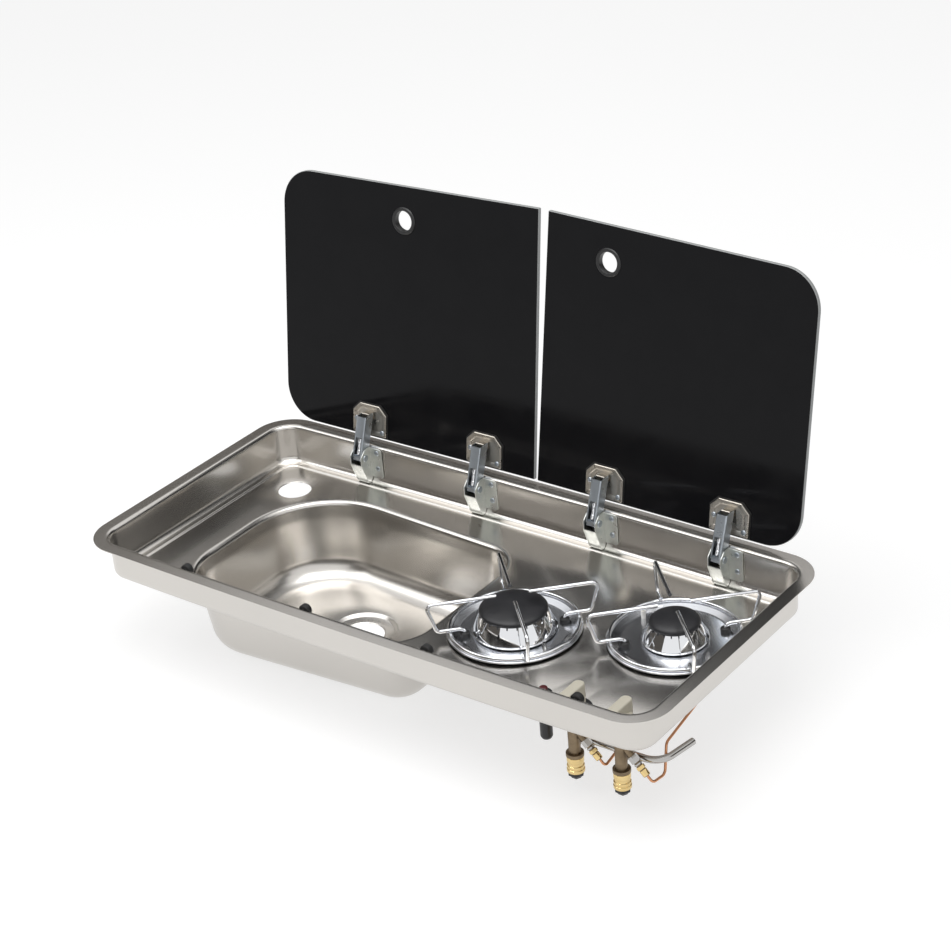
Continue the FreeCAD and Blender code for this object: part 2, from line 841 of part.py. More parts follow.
for i, z in enumerate(rivet_zs):
    rivet_hole = housing_form.newObject("PartDesign::SubtractiveCylinder", f"rivet_hole_{i}")
    bind(rivet_hole, Radius="rivet_r + pin_play", Height="housing_sheet * 3")
    rivet_hole.Placement = Placement(Vector(rivet_x, wall_y + s.housing_sheet, z),
                                     Rotation(Vector(1, 0, 0), 90))

pin_half = housing_inner / 2 + s.housing_sheet
pin_end = pin_half + s.pin_head
pin_form = turned("hinge_pin_form", path(
    (0, -pin_end), (s.pin_head_r, -pin_end), (s.pin_head_r, -pin_half), (s.pin_r, -pin_half),
    (s.pin_r, pin_half), (s.pin_head_r, pin_half), (s.pin_head_r, pin_end), (0, pin_end)))
rivet_form = turned("hinge_rivet_form", path(
    (0, 0), (s.rivet_r, 0), (s.rivet_r, s.housing_sheet), (s.rivet_head_r, s.housing_sheet),
    dome(s.rivet_head_r, s.housing_sheet, s.housing_sheet + s.rivet_head)))
doc.recompute()

# The arm's rest angle points its channel at the lug of the open lid.
lug_open = lid_swing.multVec(Vector(0, lug_y, lid_under - s.lug_aim)) - pivot
arm_rest = math.degrees(math.atan2(lug_open.z, lug_open.y))
arm_ratio = (180 - arm_rest) / s.lid_open_angle
print("the arm lies level when the lid is closed, and turns", arm_ratio, "times as far")

housing_places = []
rivet_places = []
for side, lid in lid_sides.items():
    frame = side_place(side)
    hinge_frames = [frame.multiply(Placement(Vector(on_side(side, x), 0, 0), Rotation()))
                    for x in lid["hinges"]]
    lid_places = [opened(side).multiply(place) for place in hinge_frames]
    arm_turn = Placement(pivot, Rotation(Vector(1, 0, 0), arm_rest))
    arm_places = [place.multiply(arm_turn) for place in hinge_frames]
    pin_turn = Placement(pivot, Rotation(Vector(0, 1, 0), 90))
    pin_places = [place.multiply(pin_turn) for place in hinge_frames]
    screw_places = [place.multiply(Placement(Vector(*spot, 0), Rotation()))
                    for place in lid_places for spot in screw_spots]
    copies("hinge_pads_" + side, pad_form, lid_places)
    copies("hinge_plates_" + side, plate_form, lid_places)
    copies("hinge_screws_" + side, screw_form, screw_places)
    copies("hinge_arms_" + side, arm_form, arm_places)
    copies("hinge_barrels_" + side, barrel_form, arm_places)
    copies("hinge_pins_" + side, pin_form, pin_places)
    housing_places += hinge_frames
    rivet_turns = [Placement(Vector(rivet_x, wall_y, z), Rotation(Vector(1, 0, 0), 90)) for z in rivet_zs]
    rivet_places += [place.multiply(turn) for place in hinge_frames for turn in rivet_turns]
copies("hinge_housings", housing_form, housing_places)
copies("hinge_rivets", rivet_form, rivet_places)


# Rubber bumpers that the closed lids rest on

bumper_end = -s.tray_sheet - s.bumper_tail
bumper_brow = s.bumper_long - s.bumper_dome
bumper_form = turned("lid_bumper_form", path(
    (0, bumper_end), (s.bumper_neck_r, bumper_end), (s.bumper_neck_r, 0), (s.bumper_r, 0),
    (s.bumper_r, bumper_brow), dome(s.bumper_r, bumper_brow, s.bumper_long)))
bumper_face = Rotation(Vector(1, 0, 0), -90)
bumper_places = [Placement(Vector(x, front_wall(x) + s.part_play, bumper_z), bumper_face)
                 for x in bumper_xs]
copies("lid_bumpers", bumper_form, bumper_places)


# Burners

pan_floor = floor_top + s.pan_sheet
pan_top = floor_top + s.pan_high
pan_brow = s.pan_r - s.pan_rim
pan_foot = pan_brow - s.pan_slope
seat = floor_top + s.skirt_foot
cup_under = floor_under - s.burner_cup_drop
flange_under = floor_under - s.burner_flange
jet_low = cup_under - s.jet_long
jet_inlet = cup_under - s.jet_long / 2
burner_sizes = {
    "left": {"skirt": s.skirt_left_r, "high": s.skirt_left_high, "cap": s.cap_left_r},
    "right": {"skirt": s.skirt_right_r, "high": s.skirt_right_high, "cap": s.cap_right_r},
}
ring_z = pan_top + s.wire_r + s.part_play
low_z = ring_z + 2 * s.wire_r - s.weld_bite
top_z = -s.support_top_drop
grommet_bore = s.wire_r + s.grommet_bore_play
for side, place in burner_places.items():
    size = burner_sizes[side]
    pan = turned("burner_pan_" + side, path(
        (s.burner_hole_r, floor_top), (pan_foot, floor_top), (pan_brow, pan_top - s.pan_sheet),
        (s.pan_r - s.pan_sheet, pan_top - s.pan_sheet), (s.pan_r - s.pan_sheet, floor_top),
        (s.pan_r, floor_top), (s.pan_r, pan_top), (pan_brow - s.pan_sheet / 2, pan_top),
        (pan_foot - s.pan_sheet / 2, pan_floor), (s.burner_hole_r, pan_floor)), *place)
    pan_holes = [circle(*around((0, 0), s.probe_from_centre, angle), s.probe_r + s.part_play)
                 for angle in probe_angles.values()]
    grommet_hole_r = s.grommet_neck_r + s.part_play
    pan_holes += [circle(*around((0, 0), s.grommet_from_centre, angle), grommet_hole_r)
                  for angle in grommet_angles]
    hole_plan = new_sketch(pan, "pan_holes_" + side, "XY_Plane", pan_holes)
    pocket(pan, hole_plan, "tray_depth + tray_sheet")

    grommet_form = turned("grommet_form_" + side, path(
        (grommet_bore, floor_top), (s.grommet_neck_r, floor_top), (s.grommet_neck_r, pan_floor),
        (s.grommet_r, pan_floor), (s.grommet_top_r, pan_floor + s.grommet_high),
        (grommet_bore, pan_floor + s.grommet_high)))
    grommet_places = [Placement(Vector(*around(place, s.grommet_from_centre, angle), 0), Rotation())
                      for angle in grommet_angles]
    copies("pan_grommets_" + side, grommet_form, grommet_places)

    crown = seat + size["high"]
    neck = s.burner_neck_r
    neck_top = crown - s.burner_cup_wall
    bore = neck - s.burner_cup_wall
    collar = s.burner_hole_r - 2 * s.part_play
    turned("burner_cup_" + side, path(
        (0, cup_under), (s.burner_cup_r, cup_under), (s.burner_cup_r, flange_under),
        (s.burner_flange_r, flange_under), (s.burner_flange_r, floor_under),
        (collar, floor_under), (collar, seat), (neck, seat), (neck, neck_top), (bore, neck_top),
        (bore, cup_under + s.burner_cup_wall), (0, cup_under + s.burner_cup_wall)), *place)
    turned("burner_skirt_" + side, path(
        (neck + s.part_play, seat), (size["skirt"], seat), (size["skirt"], seat + s.skirt_edge),
        (size["cap"], crown), (neck + s.part_play, crown)), *place)
    brow = crown + s.cap_edge
    turned("burner_cap_" + side, path(
        (0, crown - s.cap_stem), (s.cap_stem_r, crown - s.cap_stem), (s.cap_stem_r, crown),
        (size["cap"], crown), (size["cap"], brow), dome(size["cap"], brow, brow + s.cap_dome)), *place)
    turned("burner_jet_" + side, path(
        (0, jet_low), (s.jet_r, jet_low), (s.jet_r, cup_under), (0, cup_under)), *place)

    # Pan support: a wire ring with four bent arms, two of them plugged into the grommets
    arms = []
    for angle in support_angles:
        plugged = angle in grommet_angles
        run = [(s.support_inner, top_z), (s.support_reach, top_z), (s.support_low_reach, low_z)]
        if plugged:
            plug_z = floor_top + s.part_play
            run += [(s.grommet_from_centre, low_z), (s.grommet_from_centre, plug_z)]
        else:
            run += [(s.support_ring_r - 2 * s.wire_r, low_z)]
        points = [(*around(place, radius, angle), z) for radius, z in run]
        arms.append(pipe(points, s.wire_r, s.support_bend))
    ring_wire = Part.makeTorus(s.support_ring_r, s.wire_r, Vector(*place, ring_z))
    shaped("pan_support_" + side, ring_wire.fuse(arms))


# Gas taps: knob on a sprung stem, stem in a brass tap under the floor

bezel_top = floor_top + s.bezel_thick
stem_low = -s.stem_drop
tap_low = floor_under - s.valve_long
rail_y = knob_y + s.rail_behind
rail_z = -s.rail_drop
feed_z = -s.feed_drop
tilt = math.radians(s.fitting_tilt)
fitting_way = Vector(math.cos(tilt), 0, -math.sin(tilt))
fitting_ends = {}
for side, (x, y) in knob_places.items():
    shaft_bore = s.stem_r + s.stem_play
    grip = new_body("knob_" + side)
    base = new_sketch(grip, "knob_base_" + side, "XY_Plane", [circle(0, 0, s.knob_base_r)],
                      "bezel_thick + knob_lift - tray_depth")
    pad(grip, base, "knob_base")
    half_long = s.knob_long / 2
    half_wide = s.knob_wide / 2
    bar_outline = rounded([
        (-half_wide, -half_long, s.knob_corner), (half_wide, -half_long, s.knob_corner),
        (half_wide, half_long, s.knob_corner), (-half_wide, half_long, s.knob_corner)])
    bar = new_sketch(grip, "knob_bar_" + side, "XY_Plane", bar_outline,
                     "bezel_thick + knob_lift - tray_depth")
    pad(grip, bar, "tray_depth - bezel_thick - knob_lift - knob_top_drop")
    socket = grip.newObject("PartDesign::SubtractiveCylinder", "knob_socket_" + side)
    bind(socket, Radius="stem_r + stem_play",
         Height="tray_depth - knob_top_drop - stem_cover + stem_play")
    socket.Placement = Placement(Vector(0, 0, floor_top), Rotation())
    grip.Placement = Placement(Vector(x, y, 0), Rotation())

    stem = doc.addObject("Part::Cylinder", "valve_stem_" + side)
    bind(stem, Radius="stem_r", Height="stem_drop - knob_top_drop - stem_cover")
    stem.Placement = Placement(Vector(x, y, stem_low), Rotation())

    turned("knob_bezel_" + side, path(
        (s.stem_hole_r, floor_top), (s.bezel_r, floor_top), (s.bezel_r - s.bezel_thick, bezel_top),
        (s.stem_hole_r, bezel_top)), x, y)

    head_low = floor_under - s.valve_head
    bore_low = stem_low - s.valve_bore_spare
    body_tap = Part.makeCylinder(s.valve_r, s.valve_long, Vector(x, y, tap_low))
    head_tap = Part.makeCylinder(s.valve_head_r, s.valve_head, Vector(x, y, head_low))
    inlet_boss = Part.makeCylinder(s.boss_r, s.rail_behind, Vector(x, y, rail_z), Vector(0, 1, 0))
    outlet_boss = Part.makeCylinder(s.boss_r, s.outlet_reach, Vector(x, y, feed_z), Vector(0, 1, 0))
    fitting = Part.makeCylinder(s.fitting_r, s.fitting_long, Vector(x, y, -s.fitting_drop), fitting_way)
    shaft = Part.makeCylinder(shaft_bore, floor_top - bore_low, Vector(x, y, bore_low))
    rail_seat = Part.makeCylinder(s.rail_r + s.stem_play, 2 * s.valve_head_r,
                                  Vector(x - s.valve_head_r, rail_y, rail_z), Vector(1, 0, 0))
    tap = body_tap.fuse([head_tap, inlet_boss, outlet_boss, fitting]).cut([shaft, rail_seat])
    shaped("gas_valve_" + side, tap.removeSplitter())
    fitting_ends[side] = Vector(x, y, -s.fitting_drop) + fitting_way * s.fitting_long

    nut_low = tap_low - s.nut_long
    groove_low = nut_low + s.nut_groove_from
    groove_high = groove_low + s.nut_groove
    bevel = s.nut_r - s.nut_waist_r
    turned("valve_nut_" + side, path(
        (0, nut_low), (s.nut_r, nut_low), (s.nut_r, groove_low), (s.nut_waist_r, groove_low + bevel),
        (s.nut_waist_r, groove_high - bevel), (s.nut_r, groove_high), (s.nut_r, tap_low), (0, tap_low)), x, y)
    cap_cone = doc.addObject("Part::Cone", "valve_cap_" + side)
    bind(cap_cone, Radius1="valve_cap_tip_r", Radius2="valve_cap_r", Height="valve_cap_long")
    cap_cone.Placement = Placement(Vector(x, y, nut_low - s.valve_cap_long), Rotation())


# Igniter: black body under the floor, lock nut above it, red push button

neck_r = s.igniter_neck_r
button_bore = s.button_r + s.button_play
nut_top = floor_top + s.igniter_nut
button_high = floor_top + s.button_top
button_low = button_high - s.button_long
igniter_low = floor_under - s.igniter_long
bore_end = button_low - s.button_bore_spare
turned("igniter_body", path(
    (0, igniter_low), (s.igniter_r - s.igniter_bevel, igniter_low),
    (s.igniter_r, igniter_low + s.igniter_bevel), (s.igniter_r, floor_under), (neck_r, floor_under),
    (neck_r, nut_top), (button_bore, nut_top), (button_bore, bore_end), (0, bore_end)), igniter_x, igniter_y)
turned("igniter_nut", path(
    (neck_r + s.stem_play, floor_top), (s.igniter_nut_r, floor_top),
    (s.igniter_nut_r, nut_top - s.igniter_nut_bevel), (s.igniter_nut_r - s.igniter_nut_bevel, nut_top),
    (neck_r + s.stem_play, nut_top)), igniter_x, igniter_y)
turned("igniter_button", path(
    (0, button_low), (s.button_r, button_low), (s.button_r, button_high - s.button_bevel),
    (s.button_r - s.button_bevel, button_high), (0, button_high)), igniter_x, igniter_y)


# Gas pipes

rail_x = knob_places["left"][0] - s.rail_start
inlet_bend = (open_end - s.inlet_bend_in, rail_y, rail_z)
inlet_end = (open_end - s.inlet_end_in, rail_y + s.inlet_back, rail_z)
inlet = [(rail_x, rail_y, rail_z), inlet_bend, inlet_end]
shaped("gas_inlet_pipe", pipe(inlet, s.rail_r, s.rail_bend))

outlet_y = knob_y + s.outlet_reach
feed_y = outlet_y + s.feed_run
left_x, left_y = burner_places["left"]
right_x, right_y = burner_places["right"]
left_tap_x = knob_places["left"][0]
right_tap_x = knob_places["right"][0]
feed_left = [(left_tap_x, outlet_y, feed_z), (left_tap_x, feed_y, feed_z),
             (left_tap_x - s.feed_side, left_y, jet_inlet), (left_x + s.jet_r, left_y, jet_inlet)]
feed_right = [(right_tap_x, outlet_y, feed_z), (right_tap_x, feed_y, feed_z),
              (right_x, right_y - s.feed_ahead, jet_inlet), (right_x, right_y - s.jet_r, jet_inlet)]
for side, points in (("left", feed_left), ("right", feed_right)):
    feed = pipe(points, s.feed_r, s.feed_bend)
    jet = Part.makeCylinder(s.jet_r + s.stem_play, 2 * s.jet_long,
                            Vector(*burner_places[side], jet_low - s.jet_long / 2))
    shaped("feed_pipe_" + side, feed.cut(jet))


# Thermocouples and spark electrodes stand beside the burners, with leads to tap and igniter

probe_top = floor_top + s.probe_high
probe_low = floor_under - s.probe_drop
for side, place in burner_places.items():
    spark_at = around(place, s.probe_from_centre, probe_angles["spark"])
    turned("spark_electrode_" + side, path(
        (0, probe_low), (s.probe_r, probe_low), (s.probe_r, probe_top), (s.probe_tip_r, probe_top),
        (s.probe_tip_r, probe_top + s.probe_tip), (0, probe_top + s.probe_tip)), *spark_at)
    probe_at = around(place, s.probe_from_centre, probe_angles["thermocouple"])
    turned("thermocouple_" + side, path(
        (0, probe_low), (s.probe_r, probe_low), (s.probe_r, probe_top - s.probe_tip),
        (s.probe_nose_r, probe_top), (0, probe_top)), *probe_at)

heat_left = around(burner_places["left"], s.probe_from_centre, probe_angles["thermocouple"])
heat_right = around(burner_places["right"], s.probe_from_centre, probe_angles["thermocouple"])
end_left = fitting_ends["left"]
end_right = fitting_ends["right"]
lead_points = {
    "left": [
        tuple(end_left),
        tuple(end_left + fitting_way * s.lead_straight),
        tuple(end_left + Vector(8, 32, 4)),
        tuple(end_left + Vector(-20, 62, 14)),
        (*heat_left, rail_z),
        (*heat_left, probe_low),
    ],
    "right": [
        tuple(end_right),
        tuple(end_right + fitting_way * s.lead_straight),
        tuple(end_right + Vector(7, 22, -9)),
        tuple(end_right + Vector(-1, 39, 17)),
        (*heat_right, probe_low - 16),
        (*heat_right, probe_low),
    ],
}
leads = [pipe(points, s.lead_r, s.lead_bend) for points in lead_points.values()]
shaped("thermocouple_leads", Part.makeCompound(leads))

spark_left = around(burner_places["left"], s.probe_from_centre, probe_angles["spark"])
spark_right = around(burner_places["right"], s.probe_from_centre, probe_angles["spark"])
lead_out = s.igniter_r / 2
lead_y = igniter_y + math.sqrt(s.igniter_r ** 2 - (lead_out - s.spark_lead_r) ** 2) + s.part_play
lead_z = igniter_low + s.lead_exit
spark_points = {
    "left": [
        (igniter_x - lead_out, lead_y, lead_z),
        (igniter_x - lead_out, lead_y + 16, lead_z),
        (igniter_x - 40, lead_y + 30, lead_z - 6),
        (igniter_x - 90, lead_y + 26, lead_z - 4),
        (igniter_x - 140, lead_y + 50, lead_z - 2),
        (*spark_left, probe_low - 20),
        (*spark_left, probe_low),
    ],
    "right": [
        (igniter_x + lead_out, lead_y, lead_z),
        (igniter_x + lead_out, lead_y + 22, lead_z),
        (igniter_x + 6, lead_y + 70, lead_z - 8),
        (*spark_right, probe_low - 22),
        (*spark_right, probe_low),
    ],
}
leads = [pipe(points, s.spark_lead_r, s.lead_bend) for points in spark_points.values()]
shaped("spark_leads", Part.makeCompound(leads))


# Check everything, then write one file for each piece

doc.recompute()
for thing in doc.Objects:
    if "Invalid" in thing.State or "Error" in thing.State:
        raise RuntimeError(f"{thing.Label} failed: {thing.State}")
pieces = [thing for thing in doc.Objects
          if thing.isDerivedFrom("Part::Feature") and thing.getParentGeoFeatureGroup() is None
          and not thing.Label.endswith("_form") and "_form_" not in thing.Label
          and not thing.isDerivedFrom("Sketcher::SketchObject")]
for piece in pieces:
    if piece.Shape.isNull() or not piece.Shape.isValid():
        raise RuntimeError(f"{piece.Label} has no valid shape")
os.makedirs("parts", exist_ok=True)
for piece in pieces:
    piece.Shape.exportStep(f"parts/{piece.Label}.step")
    print(piece.Label, len(piece.Shape.Solids), "solids", round(piece.Shape.Volume), "mm3")
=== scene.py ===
import json
import math

import bmesh
import bpy
from mathutils import Matrix, Vector


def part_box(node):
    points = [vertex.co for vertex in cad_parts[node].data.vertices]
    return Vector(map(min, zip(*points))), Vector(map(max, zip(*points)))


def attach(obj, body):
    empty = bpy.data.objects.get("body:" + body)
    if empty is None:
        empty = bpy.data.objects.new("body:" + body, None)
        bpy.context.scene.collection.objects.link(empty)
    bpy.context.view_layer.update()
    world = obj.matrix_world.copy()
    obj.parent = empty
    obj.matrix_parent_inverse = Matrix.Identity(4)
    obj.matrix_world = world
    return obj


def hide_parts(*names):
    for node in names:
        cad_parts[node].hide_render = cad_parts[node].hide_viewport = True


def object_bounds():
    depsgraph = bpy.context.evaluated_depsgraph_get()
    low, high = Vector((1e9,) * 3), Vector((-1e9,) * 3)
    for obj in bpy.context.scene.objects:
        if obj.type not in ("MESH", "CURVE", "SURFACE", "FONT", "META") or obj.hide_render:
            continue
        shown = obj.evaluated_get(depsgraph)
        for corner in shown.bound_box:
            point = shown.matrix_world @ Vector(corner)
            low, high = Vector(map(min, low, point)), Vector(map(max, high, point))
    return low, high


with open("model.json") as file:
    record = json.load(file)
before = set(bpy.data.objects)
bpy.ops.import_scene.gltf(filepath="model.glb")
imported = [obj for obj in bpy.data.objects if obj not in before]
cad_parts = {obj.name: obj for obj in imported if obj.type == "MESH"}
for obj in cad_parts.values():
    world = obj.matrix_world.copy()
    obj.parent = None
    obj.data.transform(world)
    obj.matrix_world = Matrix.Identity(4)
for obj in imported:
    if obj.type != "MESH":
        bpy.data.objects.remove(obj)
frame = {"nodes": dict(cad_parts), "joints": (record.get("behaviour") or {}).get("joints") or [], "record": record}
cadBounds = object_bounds()
cad = frame["nodes"]
jointNamed = {joint["name"]: joint for joint in frame["joints"]}
foldRatio = {link["joint"]: link["ratio"] for link in frame["record"]["behaviour"]["couplings"]}
sides = ("left", "right")
mm = 0.001
mergeGap = 0.002  # millimetres
sharpAngle = 32  # degrees
up = Vector((0, 0, 1))


# Camera, fitted to the photograph

view = {
    "place": (1.4756, -1.7813, 1.3220),
    "azimuth": 38.5167,
    "elevation": 27.9836,
    "roll": 4.8821,
    "lens": 90.643,
    "sensor": 36,
    "near": 0.05,
}


def addCamera():
    azimuth = math.radians(view["azimuth"])
    elevation = math.radians(view["elevation"])
    roll = math.radians(view["roll"])
    away = Vector((math.sin(azimuth) * math.cos(elevation),
                   -math.cos(azimuth) * math.cos(elevation), math.sin(elevation)))
    level = Vector((math.cos(azimuth), math.sin(azimuth), 0))
    rise = away.cross(level)
    sideways = level * math.cos(roll) - rise * math.sin(roll)
    upward = level * math.sin(roll) + rise * math.cos(roll)
    camera = bpy.data.objects.new("camera", bpy.data.cameras.new("camera"))
    camera.matrix_world = (Matrix.Translation(view["place"])
                           @ Matrix((sideways, upward, away)).transposed().to_4x4())
    camera.data.lens = view["lens"]
    camera.data.sensor_width = view["sensor"]
    camera.data.clip_start = view["near"]
    bpy.context.scene.collection.objects.link(camera)
    bpy.context.scene.camera = camera


addCamera()


# Reading the frame

def middleOf(node):
    low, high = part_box(node)
    return (low + high) / 2


def placeOf(node):
    return (middleOf(node) / mm).xy


def solidBoxes(node):
    # Corners of each separate solid of one CAD node, from left to right.
    bm = bmesh.new()
    bm.from_mesh(cad[node].data)
    bmesh.ops.remove_doubles(bm, verts=bm.verts, dist=mergeGap * mm)
    waiting = set(bm.verts)
    boxes = []
    while waiting:
        group = [waiting.pop()]
        for vert in group:
            for edge in vert.link_edges:
                other = edge.other_vert(vert)
                if other in waiting:
                    waiting.remove(other)
                    group.append(other)
        low = Vector([min(vert.co[i] for vert in group) for i in range(3)])
        high = Vector([max(vert.co[i] for vert in group) for i in range(3)])
        boxes.append((low, high))
    bm.free()
    return sorted(boxes, key=lambda box: tuple(box[0]))


def solidMiddles(node):
    return [(low + high) / 2 for low, high in solidBoxes(node)]


# Outlines and profiles, in millimetres

def cornerArc(before, corner, after, radius, steps):
    back = (before - corner).normalized()
    ahead = (after - corner).normalized()
    half = back.angle(ahead) / 2
    centre = corner + (back + ahead).normalized() * (radius / math.sin(half))
    first = corner + back * (radius / math.tan(half)) - centre
    last = corner + ahead * (radius / math.tan(half)) - centre
    sweep = first.angle(last)
    points = []
    for i in range(steps + 1):
        near = math.sin(sweep * (1 - i / steps)) / math.sin(sweep)
        far = math.sin(sweep * i / steps) / math.sin(sweep)
        points.append(centre + first * near + last * far)
    return points


def softened(corners, closed=True, steps=6):
    # Corners are (x, y) or (x, y, radius); each radius becomes an arc.
    spots = [Vector(corner[:2]) for corner in corners]
    points = []
    for i, corner in enumerate(corners):
        atEnd = not closed and i in (0, len(corners) - 1)
        radius = corner[2] if len(corner) > 2 else 0
        if atEnd or radius <= 0:
            points.append(spots[i])
        else:
            points += cornerArc(spots[i - 1], spots[i], spots[(i + 1) % len(spots)], radius, steps)
    return points


def insetCorners(corners, amount):
    # Moves each side of a counter-clockwise outline inwards and takes the same off its radii.
    count = len(corners)
    lines = []
    for i in range(count):
        start = Vector(corners[i][:2])
        along = (Vector(corners[(i + 1) % count][:2]) - start).normalized()
        lines.append((start + Vector((-along.y, along.x)) * amount, along))
    moved = []
    for i in range(count):
        (firstAt, firstWay), (nextAt, nextWay) = lines[i - 1], lines[i]
        gap = nextAt - firstAt
        far = gap.cross(nextWay) / firstWay.cross(nextWay)
        spot = firstAt + firstWay * far
        moved.append((spot.x, spot.y, corners[i][2] - amount))
    return moved


def circlePoints(x, y, radius, steps=64):
    turns = [2 * math.pi * i / steps for i in range(steps)]
    return [Vector((x + radius * math.cos(turn), y + radius * math.sin(turn))) for turn in turns]


def quarterTurns(steps):
    return [math.pi / 2 * i / steps for i in range(steps + 1)]


def eased(far, height, edge):
    # Points of a rounded edge, each (out, up) or (out, up, radius) from one corner.
    return [(far + out, height + rise, *curve) for out, rise, *curve in edge]


# Meshes, built in millimetres and scaled to metres when they become pieces

def addLoop(bm, points, z):
    return [bm.verts.new((point[0], point[1], z)) for point in points]


def bridge(bm, low, high):
    # Joins two closed loops of the same length, or a loop and a single point.
    count = max(len(low), len(high))
    for i in range(count):
        j = (i + 1) % count
        corners = []
        for vert in (low[i % len(low)], low[j % len(low)], high[j % len(high)], high[i % len(high)]):
            if vert not in corners:
                corners.append(vert)
        bm.faces.new(corners)


def bridgeAll(bm, loops):
    for low, high in zip(loops, loops[1:]):
        bridge(bm, low, high)


def fillFlat(bm, loops):
    edges = []
    for loop in loops:
        for i, vert in enumerate(loop):
            other = loop[(i + 1) % len(loop)]
            edges.append(bm.edges.get((vert, other)) or bm.edges.new((vert, other)))
    return bmesh.ops.triangle_fill(bm, use_beauty=True, use_dissolve=False, edges=edges)["geom"]


def lathe(profile, steps=96):
    # Turns a profile of (radius, height) points about Z.
    bm = bmesh.new()
    loops = []
    for radius, z in profile:
        if radius < mergeGap:
            loops.append([bm.verts.new((0, 0, z))])
        else:
            loops.append(addLoop(bm, circlePoints(0, 0, radius, steps), z))
    bridgeAll(bm, loops)
    return bm


def ringLathe(profile, steps=96):
    return lathe(list(profile) + [profile[0]], steps)


def insetLoop(points, amount):
    return [Vector(corner[:2]) for corner in insetCorners([(*point, 0) for point in points], amount)]


def stacked(outline, levels, holes=()):
    # A closed form through levels of (height, inset); its sides get the second material.
    bm = bmesh.new()
    stacks = []
    for points, sign in [(outline, 1)] + [(hole, -1) for hole in holes]:
        stack = [addLoop(bm, insetLoop(points, sign * inset), z) for z, inset in levels]
        bridgeAll(bm, stack)
        stacks.append(stack)
    for face in bm.faces:
        face.material_index = 1
    fillFlat(bm, [stack[0] for stack in stacks])
    fillFlat(bm, [stack[-1] for stack in stacks])
    return bm


def plate(outline, low, high, edge, holes=()):
    # A flat sheet with bevelled edges.
    return stacked(outline, [(low, edge), (low + edge, 0), (high - edge, 0), (high, edge)], holes)


def block(low, high, edge):
    (x0, y0, z0), (x1, y1, z1) = low, high
    return plate([Vector(spot) for spot in ((x0, y0), (x1, y0), (x1, y1), (x0, y1))], z0, z1, edge)


def drawnOut(section, startOf, endOf):
    # Extrudes a section of (x, z) points along Y between two slanted or curved ends.
    bm = bmesh.new()
    first = [bm.verts.new((x, startOf(z), z)) for x, z in section]
    last = [bm.verts.new((x, endOf(z), z)) for x, z in section]
    bridge(bm, first, last)
    fillFlat(bm, [first])
    fillFlat(bm, [last])
    return bm


def bent(corners, bend, steps=6):
    # Points along a wire with an arc at each corner.
    spots = [Vector(corner) for corner in corners]
    points = [spots[0]]
    for i in range(1, len(spots) - 1):
        points += cornerArc(spots[i - 1], spots[i], spots[i + 1], bend, steps)
    return points + [spots[-1]]


def merged(*parts):
    bm = bmesh.new()
    for part in parts:
        spare = bpy.data.meshes.new("spare")
        part.to_mesh(spare)
        part.free()
        bm.from_mesh(spare)
        bpy.data.meshes.remove(spare)
    return bm


def moved(bm, matrix):
    bm.transform(matrix)
    return bm


def at(x, y, z=0):
    return Matrix.Translation((x, y, z))


def turned(angle, axis):
    return Matrix.Rotation(math.radians(angle), 4, axis)


def inMetres(matrix):
    # A matrix in metres, for a mesh that is still in millimetres.
    return Matrix.Scale(1 / mm, 4) @ matrix @ Matrix.Scale(mm, 4)


def meshFrom(name, bm, outward=True):
    bmesh.ops.remove_doubles(bm, verts=bm.verts, dist=mergeGap)
    if outward:
        bmesh.ops.recalc_face_normals(bm, faces=bm.faces)
    bm.transform(Matrix.Scale(mm, 4))
    mesh = bpy.data.meshes.new(name)
    bm.to_mesh(mesh)
    bm.free()
    return mesh


def piece(name, mesh, body, replaced, materials, sharp=sharpAngle):
    # One visible piece on its body, in the place of the CAD nodes named.
    if mesh.materials:
        mesh.materials.clear()
    for material in materials:
        mesh.materials.append(material)
    mesh.shade_smooth()
    mesh.set_sharp_from_angle(angle=math.radians(sharp))
    thing = bpy.data.objects.new(name, mesh)
    bpy.context.scene.collection.objects.link(thing)
    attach(thing, body)
    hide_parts(*replaced)
    return thing


# Geometry Nodes

def newTree(name, inputs):
    tree = bpy.data.node_groups.new(name, "GeometryNodeTree")
    tree.interface.new_socket("Geometry", in_out="INPUT", socket_type="NodeSocketGeometry")
    for label, kind in inputs.items():
        tree.interface.new_socket(label, in_out="INPUT", socket_type=kind)
    tree.interface.new_socket("Geometry", in_out="OUTPUT", socket_type="NodeSocketGeometry")
    return tree, tree.nodes.new("NodeGroupInput"), tree.nodes.new("NodeGroupOutput")


def finishTree(tree, source, output, shape, material):
    realize = tree.nodes.new("GeometryNodeRealizeInstances")
    paint = tree.nodes.new("GeometryNodeSetMaterial")
    tree.links.new(shape, realize.inputs["Geometry"])
    tree.links.new(realize.outputs["Geometry"], paint.inputs["Geometry"])
    tree.links.new(source.outputs[material], paint.inputs["Material"])
    tree.links.new(paint.outputs["Geometry"], output.inputs["Geometry"])


def wireTree():
    # A round wire along each chain of edges.
    tree, source, output = newTree("roundWire", {
        "Radius": "NodeSocketFloat", "Sides": "NodeSocketInt", "Material": "NodeSocketMaterial"})
    curve = tree.nodes.new("GeometryNodeMeshToCurve")
    circle = tree.nodes.new("GeometryNodeCurvePrimitiveCircle")
    sweep = tree.nodes.new("GeometryNodeCurveToMesh")
    sweep.inputs["Fill Caps"].default_value = True
    tree.links.new(source.outputs["Geometry"], curve.inputs["Mesh"])
    tree.links.new(source.outputs["Radius"], circle.inputs["Radius"])
    tree.links.new(source.outputs["Sides"], circle.inputs["Resolution"])
    tree.links.new(curve.outputs["Curve"], sweep.inputs["Curve"])
    tree.links.new(circle.outputs["Curve"], sweep.inputs["Profile Curve"])
    finishTree(tree, source, output, sweep.outputs["Mesh"], "Material")
    return tree


